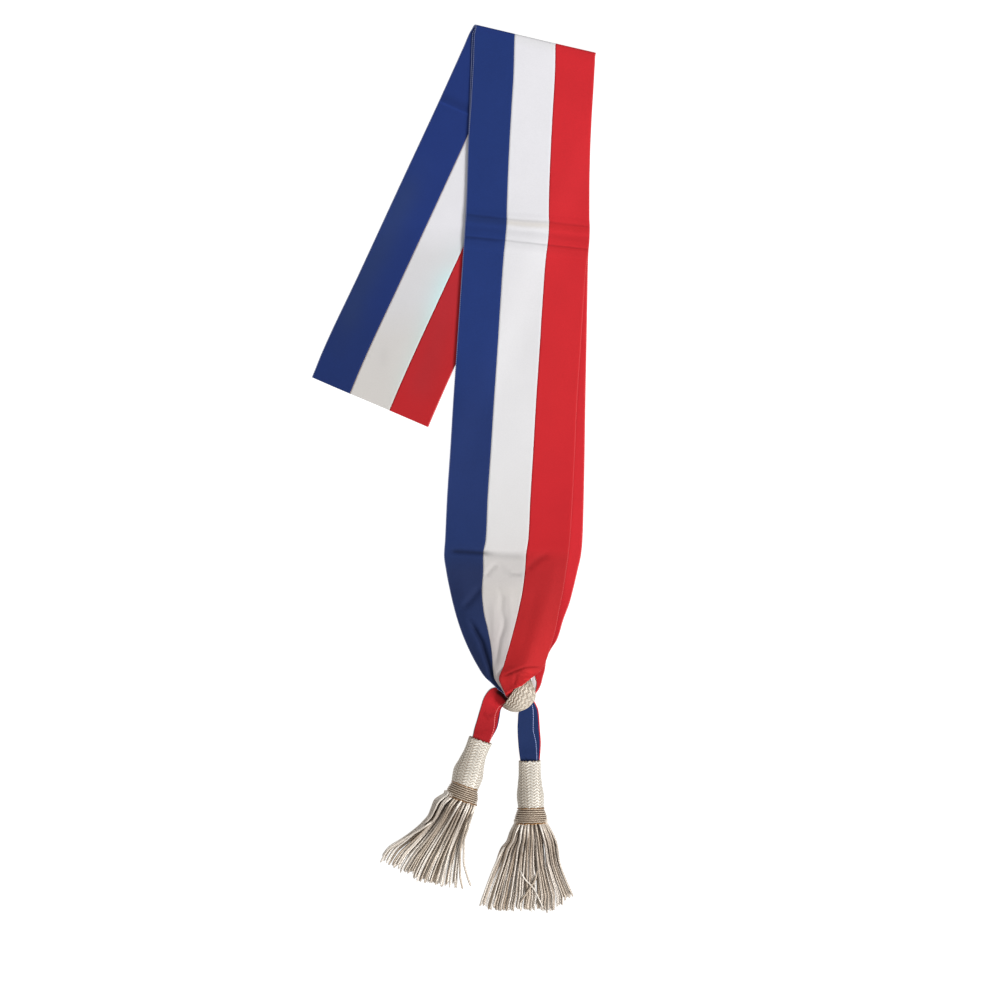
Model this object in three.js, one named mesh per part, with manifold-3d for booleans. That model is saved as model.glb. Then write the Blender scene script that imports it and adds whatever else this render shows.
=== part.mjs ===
// Ceremonial waist sash with tassels, lying folded on a flat surface.
// Millimetres. X runs to the right, Y towards the fold at the top, Z up from the surface.
import * as THREE from 'three';
import Module from 'manifold-3d';

// Driving sizes.
const CLOTH = 1.0;
const GAP = 0.3;
const SEAM_GAP = 0.3;
const LAYER_GAP = 0.4;
const LAYER_STEP = CLOTH + LAYER_GAP;
const FLAT_PARTS = 3;
const FOLD_STEPS = 6;
const GATHER_SEAM_GAP = 0.55;
const BUNDLE_WIDTH = 9.2;
const BUNDLE_CLOTH = 1.5;
const BUNDLE_STEP = BUNDLE_CLOTH + 2 * GAP;
const TAIL_CLOTH = 1.4;
const TAIL_STEP = TAIL_CLOTH + 1.5 * GAP;
const RAMP_START = 12;
const RAMP_LENGTH = 34;
const LOWER_FRONT = CLOTH / 2;
const UPPER_FRONT = LOWER_FRONT + LAYER_STEP;
const STACK_LIFT = 2 * LAYER_STEP;

const BLUE = 0;
const WHITE = 1;
const RED = 2;

const point = (x, y, z) => new THREE.Vector3(x, y, z);
const UP = point(0, 0, 1);
const mix = (a, b, t) => a + (b - a) * t;
const smooth = (t) => {
  const s = Math.min(Math.max(t, 0), 1);
  return s * s * (3 - 2 * s);
};
const radians = (degrees) => degrees * Math.PI / 180;

// The left band's right edge, which the front column crosses and comes down from.
const BAND_EDGE_TOP = point(115.0, 337.8, 0);
const BAND_EDGE_LOW = point(0.4, 82.5, 0);

function liftOverBand(x, y) {
  const along = BAND_EDGE_LOW.clone().sub(BAND_EDGE_TOP).normalize();
  const away = (x - BAND_EDGE_TOP.x) * -along.y + (y - BAND_EDGE_TOP.y) * along.x;
  return STACK_LIFT * (1 - smooth((away - RAMP_START) / RAMP_LENGTH));
}

// A section of one stripe: a curved strip from its left to its right edge.
// crown: rise of its middle; thick: cloth thickness; facing: direction of the front face.
function stripeSection(left, right, facing, thick, crown = 0, levelOf = null) {
  const middle = [];
  for (let i = 0; i <= FLAT_PARTS; i += 1) {
    const t = i / FLAT_PARTS;
    const p = left.clone().lerp(right, t);
    if (levelOf) {
      p.z = levelOf(p.x, p.y);
    }
    p.addScaledVector(facing, crown * 4 * t * (1 - t));
    middle.push(p);
  }
  const front = [];
  const back = [];
  middle.forEach((p, i) => {
    const before = middle[Math.max(i - 1, 0)];
    const after = middle[Math.min(i + 1, FLAT_PARTS)];
    const across = after.clone().sub(before).normalize();
    const out = facing.clone().addScaledVector(across, -facing.dot(across)).normalize();
    front.push(p.clone().addScaledVector(out, thick / 2));
    back.push(p.clone().addScaledVector(out, -thick / 2));
  });
  return front.concat(back.reverse());
}

// A station across the whole ribbon, with the three stripes side by side.
function flatStation(edges, facing, sizes = {}) {
  const {
    thick = [CLOTH, CLOTH, CLOTH], crown = [0, 0, 0], seam = SEAM_GAP, levelOf = null,
  } = sizes;
  const stripes = [BLUE, WHITE, RED];
  return stripes.map((k) => {
    const across = edges[k + 1].clone().sub(edges[k]).normalize();
    const left = edges[k].clone().addScaledVector(across, k === BLUE ? 0 : seam / 2);
    const right = edges[k + 1].clone().addScaledVector(across, k === RED ? 0 : -seam / 2);
    return stripeSection(left, right, facing, thick[k], crown[k], levelOf);
  });
}

// A station of the gathered ribbon, with the three stripes one upon another.
// turn: degrees that the stack has rolled; heading: direction of the path, degrees from +X;
// skew: degrees of the section's line away from square; shift: how far each stripe slides out.
function stackStation(centre, heading, turn, sizes = {}) {
  const {
    width = BUNDLE_WIDTH, thick = BUNDLE_CLOTH, step = BUNDLE_STEP, skew = 0, shift = 0,
  } = sizes;
  const travel = point(Math.cos(radians(heading)), Math.sin(radians(heading)), 0);
  const level = UP.clone().cross(travel);
  level.applyAxisAngle(UP, radians(skew));
  const across = level.clone().multiplyScalar(Math.cos(radians(turn)));
  across.addScaledVector(UP, Math.sin(radians(turn)));
  const facing = UP.clone().multiplyScalar(Math.cos(radians(turn)));
  facing.addScaledVector(level, -Math.sin(radians(turn)));
  return [BLUE, WHITE, RED].map((k) => {
    const middle = centre.clone().addScaledVector(facing, (k - WHITE) * step);
    middle.addScaledVector(across, (k - WHITE) * shift);
    const left = middle.clone().addScaledVector(across, -width / 2);
    const right = middle.clone().addScaledVector(across, width / 2);
    return stripeSection(left, right, facing, thick);
  });
}

// Front column, upper layer. Columns: left x, left y, right x, right y, bump.
const FRONT_UPPER = [
  [15.9, 351.6, 114.1, 328.9, 0],
  [15.2, 332.1, 113.0, 309.3, 0],
  [13.4, 299.6, 111.4, 283.3, 0],
  [11.1, 263.0, 109.6, 254.9, 0],
  [10.1, 230.5, 108.7, 226.4, 0],
  [9.5, 211.8, 108.7, 203.7, 0.2],
  [9.2, 205.3, 109.1, 196.3, 0.9],
  [8.5, 197.2, 108.5, 187.4, 0.3],
  [7.9, 187.4, 107.9, 176.8, 0.9],
  [7.2, 177.6, 107.2, 167.9, 0],
  [4.5, 137.0, 105.0, 135.4, 0],
  [1.8, 96.3, 102.5, 96.3, 0],
  [-1.0, 55.7, 99.8, 55.7, 0],
  [-3.5, 15.0, 98.0, 15.0, 0],
  [-6.2, -25.6, 96.0, -25.6, 0],
  [-7.7, -58.1, 94.1, -56.5, 0],
];

// Front column, lower layer, with the same columns.
const FRONT_LOWER = [
  [14.5, 353.2, 113.4, 329.7, 0],
  [13.6, 332.1, 112.4, 309.3, 0],
  [12.4, 299.6, 110.6, 283.3, 0],
  [11.0, 263.0, 108.9, 254.9, 0],
  [10.1, 230.5, 108.1, 226.4, 0],
  [8.5, 197.2, 108.1, 187.4, 0],
  [7.2, 177.6, 107.4, 167.9, 0],
  [4.5, 137.0, 106.9, 135.4, 0],
  [1.8, 96.3, 106.2, 96.3, 0],
  [-1.0, 55.7, 105.5, 55.7, 0],
  [-3.5, 15.0, 105.0, 15.0, 0],
  [-6.2, -25.6, 104.1, -25.6, 0],
  [-7.7, -58.1, 102.8, -58.1, 0],
];

// Left band, both layers. Columns: left x, left y, right x, right y.
const BAND = [
  [7.3, 341.9, 106.9, 319.1],
  [-11.8, 300.4, 88.2, 276.8],
  [-44.3, 230.5, 56.5, 205.3],
  [-76.8, 160.2, 24.0, 135.4],
  [-107.7, 93.5, -9.3, 59.8],
];
const TOP_FOLD = [point(15.4, 359.3, 0), point(114.5, 335.4, 0)];
const LOW_FOLD = [point(-114.6, 74.6, 0), point(-20.3, 34.8, 0)];
const TOP_FOLD_LEVEL = UPPER_FRONT + STACK_LIFT - (3 * LAYER_STEP) / 2;
const LOW_FOLD_LEVEL = LOWER_FRONT + LAYER_STEP / 2;
const BLUE_SEAM = 0.325;
const RED_SEAM = 0.665;

function seamPoints(left, right) {
  return [left, left.clone().lerp(right, BLUE_SEAM), left.clone().lerp(right, RED_SEAM), right];
}

function columnStation(row, level, facing) {
  const [leftX, leftY, rightX, rightY, bump] = row;
  const edges = seamPoints(point(leftX, leftY, 0), point(rightX, rightY, 0));
  return flatStation(edges, facing, { levelOf: (x, y) => level + bump + liftOverBand(x, y) });
}

function bandStation(row, level, facing) {
  const [leftX, leftY, rightX, rightY] = row;
  return flatStation(seamPoints(point(leftX, leftY, level), point(rightX, rightY, level)), facing);
}

// Half a turn round a fold line; from, to: degrees above the level of the fold's axis.
function foldStations(line, level, radius, outward, from, to, frontOut) {
  const stations = [];
  for (let i = 0; i <= FOLD_STEPS; i += 1) {
    const angle = radians(mix(from, to, i / FOLD_STEPS));
    const radial = outward.clone().multiplyScalar(Math.cos(angle));
    radial.addScaledVector(UP, Math.sin(angle));
    const edges = seamPoints(line[0], line[1]).map((p) => {
      const q = p.clone().addScaledVector(radial, radius);
      q.z += level;
      return q;
    });
    stations.push(flatStation(edges, radial.clone().multiplyScalar(frontOut ? 1 : -1)));
  }
  return stations;
}

// The gathered part of the upper layer, as far as the slide ring. Rows: x, y, z.
const UPPER_GATHER = {
  leftEdge: [
    [-8.5, -70.3, 1.8], [-6.9, -82.5, 1.8], [-3.7, -98.8, 1.9], [0.2, -115.0, 2.2],
    [5.3, -131.3, 2.6], [12.2, -147.6, 3.4], [18.7, -159.8, 5.0],
  ],
  blueSeam: [
    [22.8, -70.3, 2.0], [22.4, -82.5, 3.0], [21.5, -98.8, 5.0], [22.8, -115.0, 7.0],
    [26.0, -131.3, 9.0], [28.7, -147.6, 10.5], [30.1, -159.8, 11.6],
  ],
  redSeam: [
    [58.1, -70.3, 2.0], [57.3, -82.5, 3.0], [55.3, -98.8, 5.5], [52.0, -115.0, 8.5],
    [48.0, -131.3, 12.0], [43.5, -147.6, 14.4], [39.8, -160.6, 15.6],
  ],
  rightEdge: [
    [92.7, -70.3, 1.8], [90.9, -82.5, 2.2], [88.4, -98.8, 3.2], [85.1, -115.0, 5.0],
    [81.7, -132.1, 7.4], [77.6, -145.9, 8.6], [73.6, -157.3, 9.2],
  ],
  blueThick: [1.0, 1.0, 1.1, 1.2, 1.4, 1.8, 2.0],
  whiteThick: [1.0, 1.0, 1.0, 1.2, 1.4, 1.8, 2.0],
  redThick: [1.0, 1.0, 1.0, 1.0, 1.0, 1.0, 1.1],
  blueCrown: [0.0, 0.6, 1.2, 1.6, 1.8, 1.6, 1.2],
  whiteCrown: [0.0, -0.4, 0.6, 1.0, 1.0, 0.8, 0.6],
  redCrown: [0.0, 0.4, 1.2, 2.6, 4.0, 6.0, 7.6],
};

// The last rows before the ring, where the stripes slide one under another.
// Each row: left point, right point, thickness, crown, for blue, white and red.
const UPPER_TIP = [
  [
    [[24.4, -168.7, 6.9], [32.5, -169.9, 10.3], 1.9, 0.4],
    [[31.5, -169.5, 13.0], [38.6, -170.3, 15.2], 1.9, 0.3],
    [[38.9, -170.3, 17.6], [69.5, -164.6, 10.2], 1.2, 7.6],
  ],
  [
    [[29.7, -174.0, 8.9], [37.4, -174.8, 10.6], 1.8, 0.2],
    [[34.1, -174.4, 12.9], [41.1, -175.2, 15.3], 1.8, 0.2],
    [[39.4, -175.2, 17.8], [61.8, -170.2, 19.6], 1.3, 4.6],
  ],
  [
    [[35.4, -179.2, 10.4], [43.0, -179.0, 13.0], 1.6, 0],
    [[37.6, -179.9, 13.7], [44.5, -179.1, 17.4], 1.6, 0],
    [[41.0, -180.6, 18.9], [54.1, -175.7, 24.5], 1.3, 2.8],
  ],
];

// The slide ring's own frame: E along its axis, F across it, both level.
const RING_HEADING = -34.5;
const RING_CENTRE = point(47.5, -180.6, 0);
const RING_AXIS = point(Math.cos(radians(RING_HEADING)), Math.sin(radians(RING_HEADING)), 0);
const RING_SIDE = UP.clone().cross(RING_AXIS);

function ringPoint(along, side, z) {
  return RING_CENTRE.clone().addScaledVector(RING_AXIS, along)
    .addScaledVector(RING_SIDE, side).add(point(0, 0, z));
}

// The upper bundle's way through the ring.
// Columns: along, side, z, heading, turn, skew, shift, step.
const UPPER_BUNDLE = [
  [-3.0, -2.2, 18.1, -66, 36, 10, 2.0, 3.0],
  [-1.4, -3.2, 15.9, -48, 36, 4, 0.6, 2.6],
  [0.8, -2.2, 14.4, RING_HEADING, 36, 0, 0, BUNDLE_STEP],
  [2.9, -1.6, 14.3, RING_HEADING, 68, 0, 0, BUNDLE_STEP],
  [5.0, -1.4, 14.3, RING_HEADING, 102, 0, 0, BUNDLE_STEP],
  [7.0, -1.3, 14.3, RING_HEADING, 134, 0, 0, BUNDLE_STEP],
  [9.0, -1.2, 14.0, RING_HEADING, 160, 0, 0, BUNDLE_STEP],
  [11.0, -1.2, 13.2, -38, 176, 0, 0, BUNDLE_STEP],
];

// The blue tail, below the ring. Columns: x, y, z, heading, width.
const BLUE_TAIL = [
  [58.3, -190.6, 11.4, -56, 11.4],
  [59.5, -194.4, 8.8, -70, 13.6],
  [60.0, -198.0, 5.6, -80, 15.6],
  [60.2, -203.5, 2.9, -88, 16.4],
  [60.2, -211.0, 2.65, -92, 16.8],
  [61.0, -223.0, 3.3, -88, 16.0],
  [61.5, -234.5, 6.1, -90, 12.6],
  [61.7, -246.0, 7.5, -92, 12.0],
];

// The lower layer's gather, which runs beneath the ring's dome. Rows: x, y, z.
const LOWER_GATHER = {
  leftEdge: [
    [-8.3, -70.3, 0.5], [-4.0, -82.5, 0.5], [3.5, -98.8, 0.5], [13.0, -115.0, 0.5],
    [25.5, -131.3, 0.6], [40.0, -147.6, 0.8],
  ],
  blueSeam: [
    [25.5, -70.3, 0.5], [27.5, -82.5, 0.5], [31.5, -98.8, 0.5], [37.0, -115.0, 0.6],
    [44.5, -130.5, 0.8], [53.0, -145.5, 1.0],
  ],
  redSeam: [
    [63.0, -70.3, 0.5], [62.5, -82.5, 0.6], [62.5, -97.5, 0.6], [63.0, -112.5, 0.8],
    [64.6, -127.5, 1.0], [66.0, -142.5, 1.4],
  ],
  rightEdge: [
    [101.2, -70.3, 0.5], [98.0, -82.5, 0.5], [95.3, -95.8, 0.6], [92.4, -109.0, 0.7],
    [87.2, -122.8, 0.9], [81.6, -138.0, 1.4],
  ],
  blueThick: [1.0, 1.0, 1.0, 1.0, 1.1, 1.3],
  whiteThick: [1.0, 1.0, 1.0, 1.0, 1.1, 1.4],
  redThick: [1.0, 1.0, 1.0, 1.0, 1.1, 1.3],
  blueCrown: [0, 0, 0, 0, 0, 0],
  whiteCrown: [0, 0, 0, 0, 0, 0],
  redCrown: [0, 0, 0, 0, 0, 0],
};

// Where the lower layer's stripes slide one upon another, with the columns of the upper tip.
const LOWER_TIP = [
  [
    [[51.5, -157.5, 1.0], [58.4, -154.9, 1.0], 1.5, 0],
    [[58.8, -154.8, 2.9], [66.4, -151.9, 2.9], 1.5, 0],
    [[66.8, -151.8, 5.0], [78.0, -147.6, 4.0], 1.4, 0],
  ],
  [
    [[56.5, -161.6, 1.0], [66.6, -159.2, 1.0], 1.5, 0],
    [[60.5, -159.6, 2.9], [70.6, -157.2, 2.9], 1.5, 0],
    [[65.0, -157.4, 4.8], [75.4, -154.4, 4.8], 1.5, 0],
  ],
];

// The lower bundle's way through the ring. Columns: x, y, z, heading, width.
const LOWER_BUNDLE = [
  [69.4, -162.5, 2.9, -96, 9.6],
  [69.0, -168.5, 2.9, -98, 8.8],
  [67.6, -174.5, 2.9, -112, 8.6],
  [64.2, -179.6, 3.0, -140, 8.6],
  [59.4, -182.6, 4.2, -168, 8.6],
  [54.6, -183.4, 5.6, -194, 8.6],
  [50.6, -182.8, 5.8, -205, 8.6],
  [46.6, -181.8, 5.8, -203, 8.8],
  [43.2, -182.0, 5.6, -188, 9.4],
];

// The red tail. Columns: inner x, inner y, outer x, outer y, z.
const RED_TAIL = [
  [39.6, -188.6, 38.4, -177.6, 5.0],
  [38.2, -191.2, 30.9, -178.0, 3.7],
  [37.5, -192.9, 24.4, -185.8, 2.8],
  [36.9, -195.0, 21.4, -194.7, 2.6],
  [35.7, -201.6, 18.7, -204.5, 2.55],
  [34.0, -209.4, 16.0, -211.6, 3.3],
  [29.1, -220.4, 15.9, -216.6, 5.9],
  [24.2, -231.2, 12.2, -227.0, 7.5],
];

function gatherStations(table, facing) {
  return table.leftEdge.map((row, i) => {
    const lines = [table.leftEdge, table.blueSeam, table.redSeam, table.rightEdge];
    const edges = lines.map((line) => point(...line[i]));
    return flatStation(edges, facing, {
      thick: [table.blueThick[i], table.whiteThick[i], table.redThick[i]],
      crown: [table.blueCrown[i], table.whiteCrown[i], table.redCrown[i]],
      seam: mix(SEAM_GAP, GATHER_SEAM_GAP, Math.min(1, i / 2)),
    });
  });
}

function tipStations(table) {
  return table.map((row) => row.map(([left, right, thick, crown]) => (
    stripeSection(point(...left), point(...right), UP, thick, crown)
  )));
}

// The stations of a tail or bundle, listed from the front column's side.
function pathStations(rows, turn, thick, step) {
  return rows.map(([x, y, z, heading, width]) => (
    stackStation(point(x, y, z), heading, turn, { width, thick, step })
  ));
}

function redTailStations() {
  return RED_TAIL.map(([innerX, innerY, outerX, outerY, z]) => {
    const inner = point(innerX, innerY, z);
    const outer = point(outerX, outerY, z);
    return [BLUE, WHITE, RED].map((k) => {
      const lift = UP.clone().multiplyScalar((k - WHITE) * TAIL_STEP);
      return stripeSection(outer.clone().add(lift), inner.clone().add(lift), UP, TAIL_CLOTH);
    });
  });
}

// Every section of the ribbon in order, from the red tail's end to the blue tail's end.
function ribbonStations() {
  const down = UP.clone().negate();
  const topOut = point(0.235, 0.972, 0);
  const lowOut = point(-0.389, -0.921, 0);
  const lowerBand = LOWER_FRONT;
  const upperBand = UPPER_FRONT;
  const flip = (stations) => stations.map((stripes) => stripes.map(flipSection));
  return [
    ...flip(redTailStations().reverse()),
    ...flip(pathStations(LOWER_BUNDLE, 0, BUNDLE_CLOTH, BUNDLE_STEP).reverse()),
    ...flip(tipStations(LOWER_TIP).reverse()),
    ...flip(gatherStations(LOWER_GATHER, UP).reverse()),
    ...FRONT_LOWER.slice().reverse().map((row) => columnStation(row, LOWER_FRONT, down)),
    ...foldStations(TOP_FOLD, TOP_FOLD_LEVEL, LAYER_STEP / 2, topOut, 90, -90, false),
    ...BAND.map((row) => bandStation(row, upperBand, UP)),
    ...foldStations(LOW_FOLD, LOW_FOLD_LEVEL, LAYER_STEP / 2, lowOut, 90, -90, true),
    ...BAND.slice().reverse().map((row) => bandStation(row, lowerBand, down)),
    ...foldStations(TOP_FOLD, TOP_FOLD_LEVEL, 3 * LAYER_STEP / 2, topOut, -90, 90, true),
    ...FRONT_UPPER.map((row) => columnStation(row, UPPER_FRONT, UP)),
    ...gatherStations(UPPER_GATHER, UP),
    ...tipStations(UPPER_TIP),
    ...UPPER_BUNDLE.map(([along, side, z, heading, turn, skew, shift, step]) => (
      stackStation(ringPoint(along, side, z), heading, turn, { skew, shift, step })
    )),
    ...pathStations(BLUE_TAIL, 180, TAIL_CLOTH, TAIL_STEP),
  ];
}

// Swaps the front and back corners of a section that was made facing up.
function flipSection(section) {
  const half = section.length / 2;
  const front = section.slice(0, half);
  const back = section.slice(half).reverse();
  return back.concat(front.reverse());
}

// A closed solid from the sections of a stripe; its two faces are split along the same lines,
// so that layers which lie close together never cross.
function stripeSolid(loops) {
  const size = loops[0].length;
  const half = size / 2;
  const positions = loops.flat().flatMap((p) => [p.x, p.y, p.z]);
  const index = [];
  for (let i = 0; i + 1 < loops.length; i += 1) {
    for (let j = 0; j < size; j += 1) {
      const a = i * size + j;
      const b = i * size + (j + 1) % size;
      if (j < half) {
        index.push(a, a + size, b, b, a + size, b + size);
      } else {
        index.push(a, a + size, b + size, a, b + size, b);
      }
    }
  }
  const last = (loops.length - 1) * size;
  for (let j = 0; j + 1 < half; j += 1) {
    const mirror = size - 1 - j;
    index.push(j, j + 1, mirror, j + 1, mirror - 1, mirror);
    index.push(last + j, last + mirror, last + j + 1, last + j + 1, last + mirror, last + mirror - 1);
  }
  return outwardGeometry(positions, index);
}

// A closed solid from equal loops of points whose last loop joins the first.
function ringSolid(loops) {
  const size = loops[0].length;
  const positions = loops.flat().flatMap((p) => [p.x, p.y, p.z]);
  const index = [];
  for (let i = 0; i < loops.length; i += 1) {
    const next = (i + 1) % loops.length;
    for (let j = 0; j < size; j += 1) {
      const k = (j + 1) % size;
      index.push(i * size + j, next * size + j, i * size + k);
      index.push(i * size + k, next * size + j, next * size + k);
    }
  }
  return outwardGeometry(positions, index);
}

function outwardGeometry(positions, index) {
  let volume = 0;
  const corner = (i) => point(...positions.slice(3 * i, 3 * i + 3));
  for (let i = 0; i < index.length; i += 3) {
    volume += corner(index[i]).dot(corner(index[i + 1]).cross(corner(index[i + 2])));
  }
  const faces = volume > 0 ? index : index.slice().reverse();
  const geometry = new THREE.BufferGeometry();
  geometry.setAttribute('position', new THREE.Float32BufferAttribute(positions, 3));
  geometry.setIndex(faces);
  return geometry;
}

// Slide ring: a domed band, wider on top, through which both bundles pass.
const RING_HALF_WIDTH = 15.5;
const RING_HALF_HEIGHT = 11.3;
const RING_WALL = 1.9;
const RING_LENGTH_SIDE = 7.5;
const RING_LENGTH_TOP = 11.5;
const RING_LENGTH_FOOT = 3.0;
const RING_ROUND = 0.7;
const RING_SQUARENESS = 0.8;
const RING_SEGMENTS = 28;
const RING_PARTS = 4;

function ringSolidGeometry() {
  const loops = [];
  for (let i = 0; i < RING_SEGMENTS; i += 1) {
    const angle = 2 * Math.PI * i / RING_SEGMENTS;
    const sideShare = Math.cos(angle);
    const riseShare = Math.sin(angle);
    const rise = Math.sign(riseShare) * Math.abs(riseShare) ** RING_SQUARENESS;
    const side = Math.sign(sideShare) * Math.abs(sideShare) ** RING_SQUARENESS;
    const length = RING_LENGTH_SIDE
      + (riseShare > 0 ? RING_LENGTH_TOP : RING_LENGTH_FOOT) * riseShare;
    const outer = [];
    const inner = [];
    for (let j = 0; j <= RING_PARTS; j += 1) {
      const v = j / RING_PARTS;
      const drop = rise > 0 ? Math.sqrt(1 - (RING_ROUND * v) ** 2) : 1;
      outer.push(ringPoint(length * v, RING_HALF_WIDTH * side,
        RING_HALF_HEIGHT * (1 + rise * drop)));
      inner.push(ringPoint(length * v, (RING_HALF_WIDTH - RING_WALL) * side,
        RING_HALF_HEIGHT + (RING_HALF_HEIGHT - RING_WALL) * rise * drop));
    }
    loops.push(outer.concat(inner.reverse()));
  }
  return ringSolid(loops);
}

// Round pieces of a tassel, swept along its own axis.
const ROUND_SEGMENTS = 20;

function roundLoop(centre, across, half, height, sizes = {}) {
  const { segments = ROUND_SEGMENTS, ripple = 0, square = 2 } = sizes;
  const swell = (share) => Math.sign(share) * Math.abs(share) ** (2 / square);
  const loop = [];
  for (let i = 0; i < segments; i += 1) {
    const angle = 2 * Math.PI * i / segments;
    const p = centre.clone().addScaledVector(across, half * swell(Math.cos(angle)));
    p.z += height * swell(Math.sin(angle));
    const along = point(-across.y, across.x, 0);
    p.addScaledVector(along, ripple * (i % 2 === 0 ? 1 : -1));
    loop.push(p);
  }
  return loop;
}

// A solid of round loops with fans of triangles at both ends.
function cappedRoundSolid(loops) {
  const size = loops[0].length;
  const positions = loops.flat().flatMap((p) => [p.x, p.y, p.z]);
  const index = [];
  for (let i = 0; i + 1 < loops.length; i += 1) {
    for (let j = 0; j < size; j += 1) {
      const k = (j + 1) % size;
      index.push(i * size + j, (i + 1) * size + j, i * size + k);
      index.push(i * size + k, (i + 1) * size + j, (i + 1) * size + k);
    }
  }
  const ends = [[0, true], [loops.length - 1, false]];
  ends.forEach(([row, first]) => {
    const middle = loops[row].reduce((sum, p) => sum.add(p), point(0, 0, 0))
      .multiplyScalar(1 / size);
    const hub = positions.length / 3;
    positions.push(middle.x, middle.y, middle.z);
    for (let j = 0; j < size; j += 1) {
      const a = row * size + j;
      const b = row * size + (j + 1) % size;
      index.push(hub, first ? a : b, first ? b : a);
    }
  });
  return outwardGeometry(positions, index);
}

// The two tassels. mouth and foot: the sleeve's ends on its axis; halves and heights: half sizes.
// collarHalf, collarHeight: half sizes of the collar; collarSlide: its foot's way to the right;
// kneeSpread: side reach of the outer locks at their knees; locks: x, y, z of each lock's end.
const SLEEVE_WALL = 1.4;
const SLEEVE_POCKET = 14;
const SLEEVE_SQUARE = [2.7, 2.6, 2.2, 2, 2];
const COLLAR_SPACE = 0.4;
const COLLAR_LEVELS = [11.6, 11.9];
const COLLAR_TURNS = 7;
const COLLAR_GROOVE = 0.7;
const COLLAR_HOLE = 6.6;
const TASSELS = {
  left: {
    mouth: point(21.6, -220.6, 6.5),
    foot: point(8.5, -257.0, 11.2),
    bow: -1.6,
    sleeveHalf: [9.3, 9.9, 10.8, 11.4, 11.2],
    sleeveHeight: [6.2, 6.8, 8.2, 9.8, 10.3],
    collarLength: 11.4,
    collarSlide: 1.0,
    collarHalf: [11.2, 12.6, 13.6, 13.4],
    collarHeight: [10.4, 11.2, 11.6, 11.4],
    kneeSpread: [17, 9],
    locks: [
      [-55.6, -317.5, 3.6], [-47.5, -325.4, 3.6], [-37.5, -329.9, 3.6], [-28.5, -333.9, 3.6],
      [-19.5, -337.0, 3.6], [-10.5, -339.0, 3.6], [-1.8, -340.8, 3.6], [6.4, -339.4, 3.6],
      [-48.0, -313.4, 9.4], [-36.0, -323.4, 9.4], [-24.5, -329.9, 9.4], [-13.0, -334.4, 9.4],
      [-2.5, -336.4, 9.4], [4.0, -333.4, 9.4],
    ],
  },
  right: {
    mouth: point(61.5, -237.4, 6.5),
    foot: point(62.1, -275.3, 11.2),
    bow: 0,
    sleeveHalf: [8.8, 8.8, 9.6, 10.6, 10.5],
    sleeveHeight: [6.2, 6.8, 8.2, 9.8, 10.3],
    collarLength: 11.8,
    collarSlide: -0.4,
    collarHalf: [10.8, 12.4, 13.4, 13.2],
    collarHeight: [10.4, 11.2, 11.6, 11.4],
    kneeSpread: [17, 18],
    locks: [
      [24.0, -357.7, 3.6], [34.0, -360.7, 3.6], [43.2, -360.7, 3.6], [52.4, -360.7, 3.6],
      [61.6, -360.9, 3.6], [70.8, -361.5, 3.6], [80.6, -359.7, 3.6], [92.2, -349.6, 3.6],
      [29.5, -355.9, 9.4], [41.0, -356.9, 9.4], [53.0, -356.9, 9.4], [65.0, -357.3, 9.4],
      [76.5, -356.5, 9.4], [87.5, -345.4, 9.4],
    ],
  },
};

function alongTable(values, t) {
  const place = t * (values.length - 1);
  const i = Math.min(Math.floor(place), values.length - 2);
  return mix(values[i], values[i + 1], place - i);
}

function sleeveGeometry(tassel) {
  const axis = tassel.foot.clone().sub(tassel.mouth);
  const length = axis.length();
  const across = point(-axis.y, axis.x, 0).normalize();
  const parts = 8;
  const loops = [];
  const loopAt = (t, wall, ripple) => roundLoop(
    tassel.mouth.clone().addScaledVector(axis, t)
      .addScaledVector(across, tassel.bow * Math.sin(Math.PI * t)),
    across, alongTable(tassel.sleeveHalf, t) - wall,
    alongTable(tassel.sleeveHeight, t) - wall,
    { ripple, square: alongTable(SLEEVE_SQUARE, t) },
  );
  for (let i = parts; i >= 1; i -= 1) {
    loops.push(loopAt(i / parts, 0, 0));
  }
  loops.push(loopAt(0, 0, 0.5));
  loops.push(loopAt(0.002, SLEEVE_WALL, 0.5));
  loops.push(loopAt(SLEEVE_POCKET / length / 2, SLEEVE_WALL, 0));
  loops.push(loopAt(SLEEVE_POCKET / length, SLEEVE_WALL, 0));
  return cappedRoundSolid(loops);
}

// The collar's two end centres and the tassel's own directions, all level.
function collarFrame(tassel) {
  const along = tassel.foot.clone().sub(tassel.mouth).setZ(0).normalize();
  const across = point(-along.y, along.x, 0);
  const [top, foot] = [COLLAR_SPACE, COLLAR_SPACE + tassel.collarLength].map((reach, i) => (
    tassel.foot.clone().addScaledVector(along, reach)
      .addScaledVector(across, i * tassel.collarSlide).setZ(COLLAR_LEVELS[i])
  ));
  return { top, foot, along, across };
}

function collarGeometry(tassel) {
  const { top, foot, across } = collarFrame(tassel);
  const axis = foot.clone().sub(top);
  const outer = [];
  const inner = [];
  const rows = 2 * COLLAR_TURNS;
  for (let i = 0; i <= rows; i += 1) {
    const t = i / rows;
    const groove = i % 2 === 0 ? COLLAR_GROOVE : 0;
    const centre = top.clone().addScaledVector(axis, t);
    outer.push(roundLoop(centre, across, alongTable(tassel.collarHalf, t) - groove,
      alongTable(tassel.collarHeight, t) - groove));
  }
  [1, 0].forEach((t) => {
    const centre = top.clone().addScaledVector(axis, t);
    inner.push(roundLoop(centre, across, COLLAR_HOLE, COLLAR_HOLE));
  });
  return ringSolid(outer.concat(inner));
}

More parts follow.
